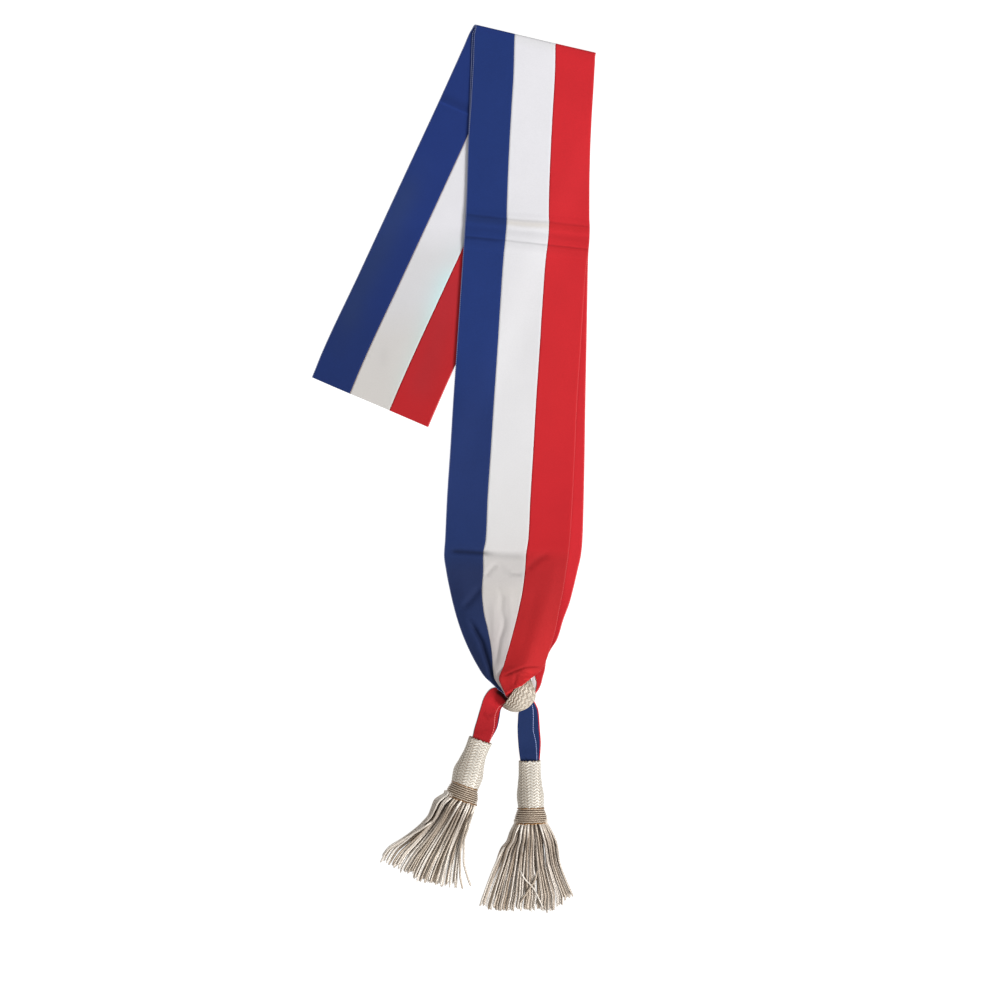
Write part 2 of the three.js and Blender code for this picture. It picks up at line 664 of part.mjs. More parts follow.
// Fringe: tapering locks joined to a head whose neck fills the collar.
const HEAD_NECK = COLLAR_HOLE - GAP;
const HEAD_LENGTH = 20;
const HEAD_SEGMENTS = 16;
const LOCK_HALF = [4.0, 5.0, 5.4, 4.6];
const LOCK_HEIGHT = [4.2, 4.4, 3.6, 3.0];
const LOCK_START_SPREAD = 7.6;
const LOCK_START_RISE = 4.2;
const LOCK_ROW_LEVEL = 6;
const LOCK_KNEE_REACH = 18;
const LOCK_END_SPREAD = 34;
const LOCK_SEGMENTS = 8;
const LOCK_PARTS = 5;

const wasm = await Module();
wasm.setup();

function toManifold(geometry) {
  return new wasm.Manifold(new wasm.Mesh({
    numProp: 3,
    vertProperties: new Float32Array(geometry.getAttribute('position').array),
    triVerts: new Uint32Array(geometry.getIndex().array),
  }));
}

// The outer skin of a body, so that pockets closed in between its locks are filled.
function outerSkin(body) {
  const skins = body.decompose();
  const largest = skins.reduce((best, skin) => (skin.volume() > best.volume() ? skin : best));
  const mesh = largest.getMesh();
  const geometry = new THREE.BufferGeometry();
  const positions = [];
  for (let i = 0; i < mesh.vertProperties.length; i += mesh.numProp) {
    positions.push(...mesh.vertProperties.slice(i, i + 3));
  }
  geometry.setAttribute('position', new THREE.Float32BufferAttribute(positions, 3));
  geometry.setIndex(Array.from(mesh.triVerts));
  return geometry;
}

// A lock that leaves the head, swells to the side at its knee and falls to its end.
function lockGeometry(frame, end, kneeSpread) {
  const { foot, along, across } = frame;
  const [x, y, z] = end;
  const tip = point(x, y, z);
  const start = foot.clone().addScaledVector(along, 4);
  const spread = tip.clone().sub(start).dot(across);
  const share = Math.max(-1, Math.min(1, spread / LOCK_END_SPREAD));
  const knee = start.clone().addScaledVector(along, LOCK_KNEE_REACH);
  knee.addScaledVector(across, share * kneeSpread[share < 0 ? 0 : 1]);
  start.addScaledVector(across, share * LOCK_START_SPREAD);
  start.z += (z > LOCK_ROW_LEVEL ? 1 : -1) * LOCK_START_RISE;
  const loops = [];
  for (let i = 0; i <= LOCK_PARTS; i += 1) {
    const t = i / LOCK_PARTS;
    const centre = start.clone().lerp(knee, t).lerp(knee.clone().lerp(tip, t), t);
    centre.z = mix(start.z, tip.z, smooth(t * 1.25));
    loops.push(roundLoop(centre, across, alongTable(LOCK_HALF, t), alongTable(LOCK_HEIGHT, t),
      { segments: LOCK_SEGMENTS }));
  }
  return cappedRoundSolid(loops);
}

function fringeGeometry(tassel) {
  const frame = collarFrame(tassel);
  const { along, across } = frame;
  const foot = frame.foot.clone().addScaledVector(along, GAP);
  const round = { segments: HEAD_SEGMENTS };
  const headLoops = [
    roundLoop(frame.top, across, HEAD_NECK, HEAD_NECK, round),
    roundLoop(foot.clone().addScaledVector(along, -0.01), across, HEAD_NECK, HEAD_NECK, round),
    roundLoop(foot.clone(), across, 12.6, 10.6, round),
    roundLoop(foot.clone().addScaledVector(along, HEAD_LENGTH * 0.5), across, 16.0, 10.4, round),
    roundLoop(foot.clone().addScaledVector(along, HEAD_LENGTH), across, 14.0, 7.0, round),
  ];
  headLoops[3].forEach((p) => { p.z = Math.max(p.z - 1.0, 0.3); });
  headLoops[4].forEach((p) => { p.z = Math.max(p.z - 3.0, 0.6); });
  let body = toManifold(cappedRoundSolid(headLoops));
  tassel.locks.forEach((end) => {
    body = body.add(toManifold(lockGeometry(frame, end, tassel.kneeSpread)));
  });
  return outerSkin(body);
}

// Materials and the finished group.
const LOOKS = {
  blue_stripe: [0x243a78, 0.75, 0],
  white_stripe: [0xe8e8ec, 0.75, 0],
  red_stripe: [0xd42e34, 0.75, 0],
  slide_ring: [0xcfc6b6, 0.5, 0.1],
  left_sleeve: [0xc9c1b2, 0.45, 0.2],
  right_sleeve: [0xc9c1b2, 0.45, 0.2],
  left_collar: [0xa59687, 0.45, 0.2],
  right_collar: [0xa59687, 0.45, 0.2],
  left_fringe: [0xa5988a, 0.4, 0.3],
  right_fringe: [0xa5988a, 0.4, 0.3],
};

const stations = ribbonStations();
const shapes = {
  blue_stripe: stripeSolid(stations.map((stripes) => stripes[BLUE])),
  white_stripe: stripeSolid(stations.map((stripes) => stripes[WHITE])),
  red_stripe: stripeSolid(stations.map((stripes) => stripes[RED])),
  slide_ring: ringSolidGeometry(),
  left_sleeve: sleeveGeometry(TASSELS.left),
  right_sleeve: sleeveGeometry(TASSELS.right),
  left_collar: collarGeometry(TASSELS.left),
  right_collar: collarGeometry(TASSELS.right),
  left_fringe: fringeGeometry(TASSELS.left),
  right_fringe: fringeGeometry(TASSELS.right),
};

const group = new THREE.Group();
group.name = 'ceremonial_waist_sash';
Object.entries(shapes).forEach(([name, geometry]) => {
  const [color, roughness, metalness] = LOOKS[name];
  geometry.computeVertexNormals();
  const material = new THREE.MeshStandardMaterial({ color, roughness, metalness });
  const mesh = new THREE.Mesh(geometry, material);
  mesh.name = name;
  group.add(mesh);
});

export default group;
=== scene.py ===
# Looks of a ceremonial waist sash with tassels, lying folded on a flat surface.
# Metres in the scene; the tables are in millimetres. X to the right, Y to the top fold, Z up.
import math

import bpy
import numpy as np
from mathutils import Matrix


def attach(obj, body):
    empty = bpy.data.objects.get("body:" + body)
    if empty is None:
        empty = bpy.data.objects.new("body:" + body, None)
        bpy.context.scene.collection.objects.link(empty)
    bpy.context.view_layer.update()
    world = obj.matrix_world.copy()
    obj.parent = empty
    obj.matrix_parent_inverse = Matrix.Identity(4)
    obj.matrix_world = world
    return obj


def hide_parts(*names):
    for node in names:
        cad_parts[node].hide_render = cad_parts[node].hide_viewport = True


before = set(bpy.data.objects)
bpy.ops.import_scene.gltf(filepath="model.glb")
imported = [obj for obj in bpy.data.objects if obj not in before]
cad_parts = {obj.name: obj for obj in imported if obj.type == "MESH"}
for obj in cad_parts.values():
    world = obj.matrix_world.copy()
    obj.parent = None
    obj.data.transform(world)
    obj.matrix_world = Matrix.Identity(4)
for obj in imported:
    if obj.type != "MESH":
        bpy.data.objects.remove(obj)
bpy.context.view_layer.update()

MM = 0.001
UP = np.array([0.0, 0.0, 1.0])
EAST = np.array([1.0, 0.0, 0.0])
TINY = 1e-9
BODY = "root"

# The view from straight above: millimetres for each point of the picture, and its origin.
POINT_SIZE = 0.813
ORIGIN_POINT = (454.5, 468.5)
PICTURE_POINTS = 1000

BLUE, WHITE, RED = 0, 1, 2
STRIPES = (BLUE, WHITE, RED)


def spot(px, py):
    """A place on the surface, from its place in the straight view from above."""
    return np.array([(px - ORIGIN_POINT[0]) * POINT_SIZE, (ORIGIN_POINT[1] - py) * POINT_SIZE])


def mix(a, b, t):
    return a + (b - a) * t


def smooth(t):
    s = np.clip(t, 0.0, 1.0)
    return s * s * (3.0 - 2.0 * s)


def unit(v):
    length = np.linalg.norm(v, axis=-1, keepdims=True)
    return v / np.maximum(length, TINY)


def facing_out(normal, outward):
    """Normals, turned over where they point against the outward direction."""
    sign = np.sign(np.sum(normal * outward, axis=-1, keepdims=True))
    return normal * np.where(sign == 0, 1.0, sign)


def run_length(points):
    """How far along a line of points each of them lies."""
    return np.concatenate([[0.0], np.cumsum(np.linalg.norm(np.diff(points, axis=0), axis=-1))])


def turned(v, degrees):
    """A level direction turned about the vertical."""
    angle = math.radians(degrees)
    c, s = math.cos(angle), math.sin(angle)
    return np.array([c * v[0] - s * v[1], s * v[0] + c * v[1], v[2]])


def monotone(places, values, wanted):
    """Values at the wanted places along a smooth curve that never swings past its points."""
    places = np.asarray(places, float)
    values = np.asarray(values, float)
    steps = np.diff(places)
    wide = steps.reshape((-1,) + (1,) * (values.ndim - 1))
    slopes = np.diff(values, axis=0) / wide
    tangents = np.zeros_like(values)
    before, after = wide[:-1], wide[1:]
    w1, w2 = 2 * after + before, after + 2 * before
    same = slopes[:-1] * slopes[1:] > 0
    safe0 = np.where(same, slopes[:-1], 1.0)
    safe1 = np.where(same, slopes[1:], 1.0)
    tangents[1:-1] = np.where(same, (w1 + w2) / (w1 / safe0 + w2 / safe1), 0.0)
    tangents[0], tangents[-1] = slopes[0], slopes[-1]
    wanted = np.asarray(wanted, float)
    i = np.clip(np.searchsorted(places, wanted, side="right") - 1, 0, len(steps) - 1)
    shape = (-1,) + (1,) * (values.ndim - 1)
    h = steps[i].reshape(shape)
    t = ((wanted - places[i]) / steps[i]).reshape(shape)
    return ((1 + 2 * t) * (1 - t) ** 2 * values[i] + t * (1 - t) ** 2 * h * tangents[i]
            + t * t * (3 - 2 * t) * values[i + 1] + t * t * (t - 1) * h * tangents[i + 1])


def show(name, data):
    """Puts a mesh, a light or a camera into the scene."""
    obj = bpy.data.objects.new(name, data)
    bpy.context.scene.collection.objects.link(obj)
    return obj


# Camera, straight above the picture's middle.
LENS = 200.0
SENSOR = 36.0
CAMERA_RANGE = 50.0
picture_middle = spot(PICTURE_POINTS / 2, PICTURE_POINTS / 2)
picture_width = PICTURE_POINTS * POINT_SIZE
camera_data = bpy.data.cameras.new("camera")
camera_data.lens = LENS
camera_data.sensor_width = SENSOR
camera_data.clip_end = CAMERA_RANGE
camera = show("camera", camera_data)
camera.location = (picture_middle[0] * MM, picture_middle[1] * MM, picture_width * MM * LENS / SENSOR)
bpy.context.scene.camera = camera


# Meshes.
def quads(rows, columns):
    """The faces of a grid whose rows close on themselves."""
    i, j = np.meshgrid(np.arange(rows - 1), np.arange(columns), indexing="ij")
    k = (j + 1) % columns
    corners = [i * columns + j, i * columns + k, (i + 1) * columns + k, (i + 1) * columns + j]
    return np.stack(corners, axis=-1).reshape(-1, 4)


class Build:
    """Collects points and faces into one mesh."""

    def __init__(self):
        self.points, self.faces, self.flat, self.uvs, self.values = [], [], [], [], {}
        self.count = 0

    def add(self, points, faces, uv, flat=None, **values):
        points = np.asarray(points, float).reshape(-1, 3)
        self.points.append(points)
        self.faces.extend([int(v) + self.count for v in face] for face in faces)
        self.flat.extend([False] * len(faces) if flat is None else flat)
        self.uvs.append(np.asarray(uv, float).reshape(-1, 2))
        for name, value in values.items():
            self.values.setdefault(name, []).append(np.asarray(value, float).reshape(len(points), -1))
        self.count += len(points)

    def piece(self, name, material, node, replaces=True):
        """Makes the mesh a piece fixed to the body, and hides the node's part when it replaces that node."""
        mesh = bpy.data.meshes.new(name)
        mesh.from_pydata((np.concatenate(self.points) * MM).tolist(), [], self.faces)
        corner = np.empty(len(mesh.loops), np.int32)
        mesh.loops.foreach_get("vertex_index", corner)
        layer = mesh.uv_layers.new(name="cloth")
        layer.data.foreach_set("uv", np.concatenate(self.uvs)[corner].astype(np.float32).ravel())
        for key, parts in self.values.items():
            value = np.concatenate(parts)
            kind, field = "FLOAT", "value"
            if value.shape[1] > 1:
                kind, field = "FLOAT_COLOR", "color"
                value = np.concatenate([value, np.ones((len(value), 1))], axis=1)
            attribute = mesh.attributes.new(key, kind, "POINT")
            attribute.data.foreach_set(field, value.astype(np.float32).ravel())
        mesh.polygons.foreach_set("use_smooth", ~np.array(self.flat, bool))
        mesh.materials.append(material)
        mesh.update()
        made = show(name, mesh)
        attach(made, BODY)
        if replaces:
            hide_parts(node)
        return made


# Materials.
class Graph:
    """The nodes of a material or a world, each made with its inputs in one call."""

    def __init__(self, owner, shader="Principled BSDF"):
        self.owner = owner
        owner.use_nodes = True
        self.tree = owner.node_tree
        self.shader = self.tree.nodes[shader]

    def node(self, kind, inputs=(), **settings):
        made = self.tree.nodes.new(kind)
        for key, value in settings.items():
            setattr(made, key, value)
        for key, value in dict(inputs).items():
            self.set(made, key, value)
        return made

    def set(self, node, key, value):
        if isinstance(value, bpy.types.NodeSocket):
            self.tree.links.new(value, node.inputs[key])
        else:
            node.inputs[key].default_value = value

    def math(self, operation, a, b=0.0, clamp=False):
        return self.node("ShaderNodeMath", {0: a, 1: b}, operation=operation, use_clamp=clamp).outputs[0]

    def times(self, a, b):
        return self.math("MULTIPLY", a, b)

    def plus(self, a, b):
        return self.math("ADD", a, b)

    def weighed(self, *pairs):
        """The sum of values, each times its weight."""
        total = self.times(*pairs[0])
        for pair in pairs[1:]:
            total = self.plus(total, self.times(*pair))
        return total

    def wave(self, value, pitch):
        return self.math("SINE", self.times(value, 2 * math.pi / pitch))

    def blend(self, share, a, b, mode="MIX"):
        made = self.node("ShaderNodeMix", {0: share, 6: a, 7: b}, data_type="RGBA", blend_type=mode,
                         clamp_factor=True)
        return made.outputs[2]

    def shaded(self, tone, grey):
        """A colour times a grey value."""
        shade = self.node("ShaderNodeCombineXYZ", {0: grey, 1: grey, 2: grey}).outputs[0]
        return self.blend(1.0, tone, shade, "MULTIPLY")

    def clouded(self, tone, place, scale, depth):
        """A colour under soft clouds of lighter and darker tone."""
        return self.shaded(tone, self.plus(self.times(self.noise(place, scale), depth), 1.0 - depth / 2))

    def noise(self, vector, scale, detail=3.0):
        made = self.node("ShaderNodeTexNoise", {"Vector": vector, "Scale": scale, "Detail": detail})
        return made.outputs["Fac"]

    def value(self, name, output="Fac"):
        return self.node("ShaderNodeAttribute", attribute_name=name).outputs[output]

    def place(self):
        return self.node("ShaderNodeTexCoord").outputs["Object"]

    def cloth_uv(self):
        uv = self.node("ShaderNodeUVMap", uv_map="cloth").outputs["UV"]
        split = self.node("ShaderNodeSeparateXYZ", {0: uv})
        return split.outputs["X"], split.outputs["Y"]

    def finish(self, colour, height, bump_distance, **settings):
        self.set(self.shader, "Base Color", colour)
        bump = self.node("ShaderNodeBump", {"Height": height, "Distance": bump_distance, "Strength": 1.0})
        self.set(self.shader, "Normal", bump.outputs["Normal"])
        for key, value in settings.items():
            self.set(self.shader, key.replace("_", " "), value)
        return self.owner


def linear(red, green, blue):
    """A colour given as 0 to 255 values, in the linear form that the shaders use."""
    def one(v):
        v = v / 255.0
        return v / 12.92 if v <= 0.04045 else ((v + 0.055) / 1.055) ** 2.4
    return (one(red), one(green), one(blue), 1.0)


# Silk: the pitches of its ribs, yarns and selvedge dots, and the scales and weights of its noise.
RIB_PITCH = 0.55
YARN_PITCH = 0.385
YARN_WEIGHT = 0.4
WEAVE_HEIGHT = 0.5
SLUB_SCALE = 900.0
SLUB_HEIGHT = 0.8
CLOUD_SCALE = 38.0
CLOUD_WEIGHT = 0.6
MOTTLE_LEVEL = 0.8
SELVEDGE_WIDTH = 0.65
SELVEDGE_PITCH = 1.6
DOT_LIMIT = -0.45
SILK_BUMP = 0.00006


def cloth_material(name, colour, thread, mottle):
    """Ribbed silk with a light noise of colour; selvedge threads show at its outer edge."""
    g = Graph(bpy.data.materials.new(name))
    across, along = g.cloth_uv()
    weave = g.plus(g.wave(along, RIB_PITCH), g.times(g.wave(across, YARN_PITCH), YARN_WEIGHT))
    place = g.place()
    slub = g.noise(place, SLUB_SCALE, 2.0)
    cloud = g.noise(place, CLOUD_SCALE, 4.0)
    shade = g.weighed((slub, mottle), (cloud, mottle * CLOUD_WEIGHT))
    tone = g.blend(1.0, colour, g.value("tint", "Color"), "MULTIPLY")
    tone = g.shaded(tone, g.plus(shade, 1.0 - mottle * MOTTLE_LEVEL))
    near = g.times(g.math("LESS_THAN", g.value("edge"), SELVEDGE_WIDTH), g.value("thread"))
    dots = g.math("GREATER_THAN", g.wave(along, SELVEDGE_PITCH), DOT_LIMIT)
    tone = g.blend(g.times(near, dots), tone, thread)
    height = g.weighed((weave, WEAVE_HEIGHT), (slub, SLUB_HEIGHT))
    return g.finish(tone, height, SILK_BUMP, Roughness=0.7, Specular_IOR_Level=0.12)


# Sizes of the ribbon, as in the solids.
CLOTH = 0.8
LAYER_STEP = 1.4
LOWER_FRONT = 0.5
UPPER_FRONT = LOWER_FRONT + LAYER_STEP
STACK_LIFT = 2 * LAYER_STEP
RAMP_START = 12.0
RAMP_LENGTH = 34.0
BLUE_SEAM = 0.325
RED_SEAM = 0.665
BAND_EDGE_TOP = np.array([115.0, 337.8])
BAND_EDGE_LOW = np.array([0.4, 82.5])
COLUMNS = 24


def lift_over_band(x, y):
    """How far the front column stands up where it crosses the left band."""
    along = unit(BAND_EDGE_LOW - BAND_EDGE_TOP)
    away = (x - BAND_EDGE_TOP[0]) * -along[1] + (y - BAND_EDGE_TOP[1]) * along[0]
    return STACK_LIFT * (1 - smooth((away - RAMP_START) / RAMP_LENGTH))


# Front column, upper layer. Columns: left x, left y, right x, right y, bump, slip of the seams.
FRONT_UPPER = [
    (15.9, 351.6, 114.1, 328.9, 0, 0.7),
    (15.2, 332.1, 113.0, 309.3, 0, 1.1),
    (13.4, 299.6, 111.4, 283.3, 0, 1.1),
    (11.1, 263.0, 110.2, 254.9, 0, 1.1),
    (10.1, 230.5, 109.7, 226.4, 0, 0.6),
    (9.5, 211.8, 109.7, 203.7, 0.2, 0.4),
    (9.2, 205.3, 110.0, 196.3, 0.9, 0.5),
    (8.5, 197.2, 109.8, 187.4, 0.3, 0.5),
    (7.9, 187.4, 108.9, 176.8, 0.9, 0.3),
    (7.2, 177.6, 107.6, 167.9, 0, 0.2),
    (4.5, 137.0, 105.0, 135.4, 0, 0.2),
    (1.8, 96.3, 102.5, 96.3, 0, 0.3),
    (-1.0, 55.7, 99.8, 55.7, 0, 0.3),
    (-3.5, 15.0, 98.0, 15.0, 0, 0),
    (-6.2, -25.6, 96.0, -25.6, 0, -0.2),
    (-7.7, -58.1, 94.1, -56.5, 0, 0),
]

# Front column, lower layer, with the first four of these columns.
FRONT_LOWER = [
    (14.5, 353.2, 113.4, 329.7),
    (13.6, 332.1, 112.4, 309.3),
    (12.4, 299.6, 110.6, 283.3),
    (11.0, 263.0, 109.5, 254.9),
    (10.1, 230.5, 109.2, 226.4),
    (8.5, 197.2, 109.4, 187.4),
    (7.2, 177.6, 108.6, 167.9),
    (4.5, 137.0, 108.0, 135.4),
    (1.8, 96.3, 107.3, 96.3),
    (-1.0, 55.7, 106.5, 55.7),
    (-3.5, 15.0, 105.9, 15.0),
    (-6.2, -25.6, 105.1, -25.6),
    (-7.7, -58.1, 104.1, -58.1),
]

# Left band, both layers. Columns: left x, left y, right x, right y.
BAND = [
    (13.3, 355.9, 112.7, 332.7),
    (7.0, 341.9, 106.9, 319.1),
    (-11.8, 300.4, 88.2, 276.8),
    (-44.3, 230.5, 56.5, 205.3),
    (-76.8, 160.2, 24.0, 135.4),
    (-108.0, 93.5, -10.0, 59.8),
]
# The two fold lines, the ways out of them, and how far the lowest corner lies from the top one.
TOP_FOLD = ((17.2, 359.0), (114.5, 335.4))
CORNER_SLIDE = np.array([3.0, 1.8, 0.0])
LOW_FOLD = ((-115.4, 75.2), (-21.0, 34.4))
TOP_OUT = np.array([0.235, 0.972, 0.0])
LOW_OUT = np.array([-0.389, -0.921, 0.0])
INNER_TURN = LAYER_STEP / 2
OUTER_TURN = 1.5 * LAYER_STEP
TOP_FOLD_LEVEL = UPPER_FRONT + STACK_LIFT - OUTER_TURN
LOW_FOLD_LEVEL = LOWER_FRONT + INNER_TURN
FOLD_STEPS = 6

# Gathered part of the upper layer: x, y, z of the stripes' edges, and how far each stripe is crowned.
UPPER_GATHER = [
    [(-8.5, -70.3, 1.9), (-6.9, -82.5, 1.9), (-3.7, -98.8, 2.0), (0.2, -115.0, 2.2),
     (5.3, -131.3, 2.6), (12.2, -147.6, 3.4), (18.7, -159.8, 5.0)],
    [(23.2, -70.3, 2.1), (23.3, -82.5, 3.0), (22.3, -98.8, 5.0), (23.6, -115.0, 7.0),
     (27.2, -131.3, 9.0), (30.2, -147.6, 10.5), (31.2, -159.8, 11.6)],
    [(58.1, -70.3, 2.1), (57.3, -82.5, 3.0), (55.3, -98.8, 5.5), (52.0, -115.0, 8.5),
     (48.0, -131.3, 12.0), (43.5, -147.6, 14.4), (39.8, -160.6, 15.6)],
    [(92.7, -70.3, 1.9), (90.9, -82.5, 2.2), (88.4, -98.8, 3.2), (85.1, -115.0, 5.0),
     (81.7, -132.1, 7.4), (77.6, -145.9, 8.6), (73.6, -157.3, 9.2)],
]
UPPER_CROWNS = [
    [0.0, 0.6, 1.2, 1.6, 1.8, 1.6, 1.2],
    [0.0, -0.4, 0.6, 1.0, 1.0, 0.8, 0.6],
    [0.0, 0.4, 1.2, 2.6, 4.0, 6.0, 7.6],
]

# The last rows before the ring. Each row: left point, right point, crown, for each stripe.
UPPER_TIP = [
    [((24.4, -168.7, 6.9), (32.5, -169.9, 10.3), 0.4),
     ((32.6, -169.5, 13.0), (38.6, -170.3, 15.2), 0.3),
     ((36.4, -170.3, 17.4), (69.5, -164.6, 10.2), 7.6)],
    [((29.7, -174.0, 8.9), (37.4, -174.8, 10.6), 0.2),
     ((35.2, -174.4, 12.9), (41.1, -175.2, 15.3), 0.2),
     ((37.8, -175.2, 17.7), (61.8, -170.2, 19.6), 4.6)],
    [((35.4, -179.2, 10.4), (43.0, -179.0, 13.0), 0.0),
     ((39.2, -179.9, 13.7), (44.5, -179.1, 17.4), 0.0),
     ((40.5, -180.6, 18.9), (54.1, -175.7, 24.5), 2.8)],
]

RING_HEADING = -34.5
RING_CENTRE = np.array([47.5, -180.6, 0.0])
RING_AXIS = turned(EAST, RING_HEADING)
RING_SIDE = np.cross(UP, RING_AXIS)
BUNDLE_WIDTH = 9.2
BUNDLE_STEP = 2.1
TAIL_STEP = 1.85
EXIT_STEP = 1.1


def ring_point(along, side, z):
    return RING_CENTRE + RING_AXIS * along + RING_SIDE * side + UP * z


# The upper bundle's way through the ring.
# Columns: along, side, z, heading, turn, skew, shift, step.
UPPER_BUNDLE = [
    (-3.0, -2.2, 18.1, -66, 36, 10, 2.8, 3.0),
    (-1.4, -3.2, 15.9, -48, 36, 4, 2.2, 2.6),
    (0.8, -2.2, 14.4, RING_HEADING, 36, 0, 1.6, BUNDLE_STEP),
    (2.9, -1.6, 14.3, RING_HEADING, 68, 0, 0.6, BUNDLE_STEP),
    (5.0, -1.4, 14.3, RING_HEADING, 102, 0, 0, BUNDLE_STEP),
    (7.0, -1.3, 14.3, RING_HEADING, 134, 0, 0, BUNDLE_STEP),
    (9.0, -1.2, 14.0, RING_HEADING, 160, 0, 0, BUNDLE_STEP),
    (11.0, -1.2, 13.2, -38, 176, 0, 0, BUNDLE_STEP),
]

# The blue tail. Columns: x, y, z, heading, width, share of the width up to the blue selvedge.
BLUE_TAIL = [
    (58.3, -190.6, 11.4, -56, 12.4, 0.90),
    (59.5, -194.4, 8.8, -70, 14.6, 0.80),
    (60.0, -198.0, 5.6, -80, 16.6, 0.76),
    (60.2, -203.5, 3.1, -88, 17.4, 0.74),
    (60.3, -211.0, 2.9, -92, 18.2, 0.72),
    (61.0, -223.0, 3.5, -88, 18.4, 0.80),
    (61.3, -234.5, 6.1, -90, 16.4, 0.86),
    (61.5, -246.0, 7.5, -92, 12.6, 0.90),
]

# The lower layer's gather, which runs beneath the ring's dome: x, y, z of the stripes' edges.
LOWER_GATHER = [
    [(-8.3, -70.3, 0.5), (-4.0, -82.5, 0.5), (3.5, -98.8, 0.5), (13.0, -115.0, 0.5),
     (25.5, -131.3, 0.6), (40.0, -147.6, 0.8)],
    [(25.5, -70.3, 0.5), (27.5, -82.5, 0.5), (31.5, -98.8, 0.5), (37.0, -115.0, 0.6),
     (44.5, -130.5, 0.8), (53.0, -145.5, 1.0)],
    [(63.0, -70.3, 0.5), (62.5, -82.5, 0.6), (62.5, -97.5, 0.6), (63.0, -112.5, 0.8),
     (64.6, -127.5, 1.0), (66.0, -142.5, 1.4)],
    [(102.9, -70.3, 0.5), (100.2, -82.5, 0.6), (97.1, -95.8, 1.0), (93.6, -109.0, 1.8),
     (88.5, -122.8, 2.8), (83.6, -138.4, 3.0)],
]

# Where the lower layer's stripes slide one upon another, with the columns of the upper tip.
LOWER_TIP = [
    [((51.5, -157.5, 1.0), (58.4, -154.9, 1.0), 0.0),
     ((58.8, -154.8, 2.9), (66.4, -151.9, 2.9), 0.0),
     ((66.8, -151.8, 5.0), (78.0, -147.6, 4.0), 0.0)],
    [((56.5, -161.6, 1.6), (66.6, -159.2, 1.6), 0.0),
     ((60.5, -159.6, 3.0), (70.6, -157.2, 3.0), 0.0),
     ((65.0, -157.4, 4.4), (74.8, -154.4, 4.4), 0.0)],
]

# The lower bundle's way through the ring.
# Columns: x, y, z, heading, width, share where the red begins, and whether it lies inside the ring.
LOWER_BUNDLE = [
    (69.0, -162.5, 3.2, -96, 9.2, 0.04, False),
    (68.0, -168.5, 3.2, -98, 8.0, 0.20, False),
    (66.4, -174.5, 3.1, -112, 8.0, 0.57, False),
    (63.4, -179.4, 3.0, -140, 8.4, 0.85, False),
    (59.4, -182.6, 4.2, -168, 8.6, 0.15, True),
    (54.6, -183.4, 5.6, -194, 8.6, 0.0, True),
    (50.6, -182.8, 5.8, -205, 8.6, 0.0, True),
    (46.6, -181.8, 5.8, -203, 8.8, 0.0, True),
    (43.2, -182.0, 5.6, -188, 9.4, 0.0, True),
]

# The red tail. Columns: inner x, inner y, outer x, outer y, z, red selvedge's share, blue rim.
RED_TAIL = [
    (43.4, -188.0, 38.8, -177.6, 5.0, 1.0, 0.0),
    (41.2, -191.2, 31.2, -178.4, 3.7, 0.97, 0.0),
    (38.9, -193.4, 24.4, -185.8, 2.8, 0.92, 0.2),
    (37.2, -196.0, 21.4, -194.7, 2.7, 0.88, 0.5),
    (35.9, -201.6, 18.5, -204.5, 2.7, 0.84, 0.9),
    (34.4, -209.4, 16.4, -211.6, 3.4, 0.90, 0.8),
    (29.5, -220.4, 15.3, -216.6, 5.9, 1.0, 0.0),
    (24.2, -231.2, 12.2, -227.0, 7.5, 1.0, 0.0),
]

ACROSS = np.linspace(0.0, 1.0, COLUMNS)
SEAMS = (0.0, BLUE_SEAM, RED_SEAM, 1.0)
NO_CROWNS = (0.0, 0.0, 0.0)
# The shares of a stack's width that the stripes take up.
WHOLE = (0.0, 1.0)
BLUE_TAIL_WHITE = (0.05, 0.97)
BLUE_TAIL_RED = (0.0, 0.97)
RED_TAIL_WHITE_OUT = 0.5

# The distance between crosswise lines in each part of the ribbon.
STEPS = {
    "hidden": 5.0, "lower_gather": 2.5, "lower_tip": 1.2, "lower_ring": 0.9, "red_tail": 1.0, "fold": 0.3,
    "band": 1.0, "front": 1.2, "gather": 0.7, "tip": 0.6, "ring": 0.6, "blue_tail": 1.2,
}


class Station:
    """One crosswise line of the whole ribbon: each stripe's points, facing and step to the next."""

    def __init__(self, stripes, facing, part, zone=None):
        self.stripes = stripes
        self.facing = facing
        self.step = STEPS[part]
        self.zone = zone


def joined_stripes(edges, facing, crowns=NO_CROWNS):
    """Three stripes side by side, on one smooth line through their edges and crowned middles."""
    knots, spots = [], []
    for k in STRIPES:
        knots.extend((SEAMS[k], (SEAMS[k] + SEAMS[k + 1]) / 2))
        spots.extend((edges[k], (edges[k] + edges[k + 1]) / 2 + facing * crowns[k]))
    knots.append(1.0)
    spots.append(edges[3])
    return [monotone(knots, np.array(spots), mix(SEAMS[k], SEAMS[k + 1], ACROSS)) for k in STRIPES]


def seam_points(left, right):
    return [mix(left, right, share) for share in SEAMS]


def flat_stations(rows, level, facing, part, zone=None, lift=None):
    """Lines of a flat layer; lift: how far it stands above its level at any place, or None."""
    made = []
    for left_x, left_y, right_x, right_y, *more in rows:
        bump, slip = more or (0, 0)
        ends = [np.array([x, y, level + bump]) for x, y in ((left_x, left_y), (right_x, right_y))]
        edges = seam_points(*ends)
        for seam in (1, 2):
            edges[seam][0] += slip
        stripes = joined_stripes(edges, facing)
        if lift:
            for points in stripes:
                points[:, 2] += lift(points[:, 0], points[:, 1])
        made.append(Station(stripes, facing, part, zone))
    return made


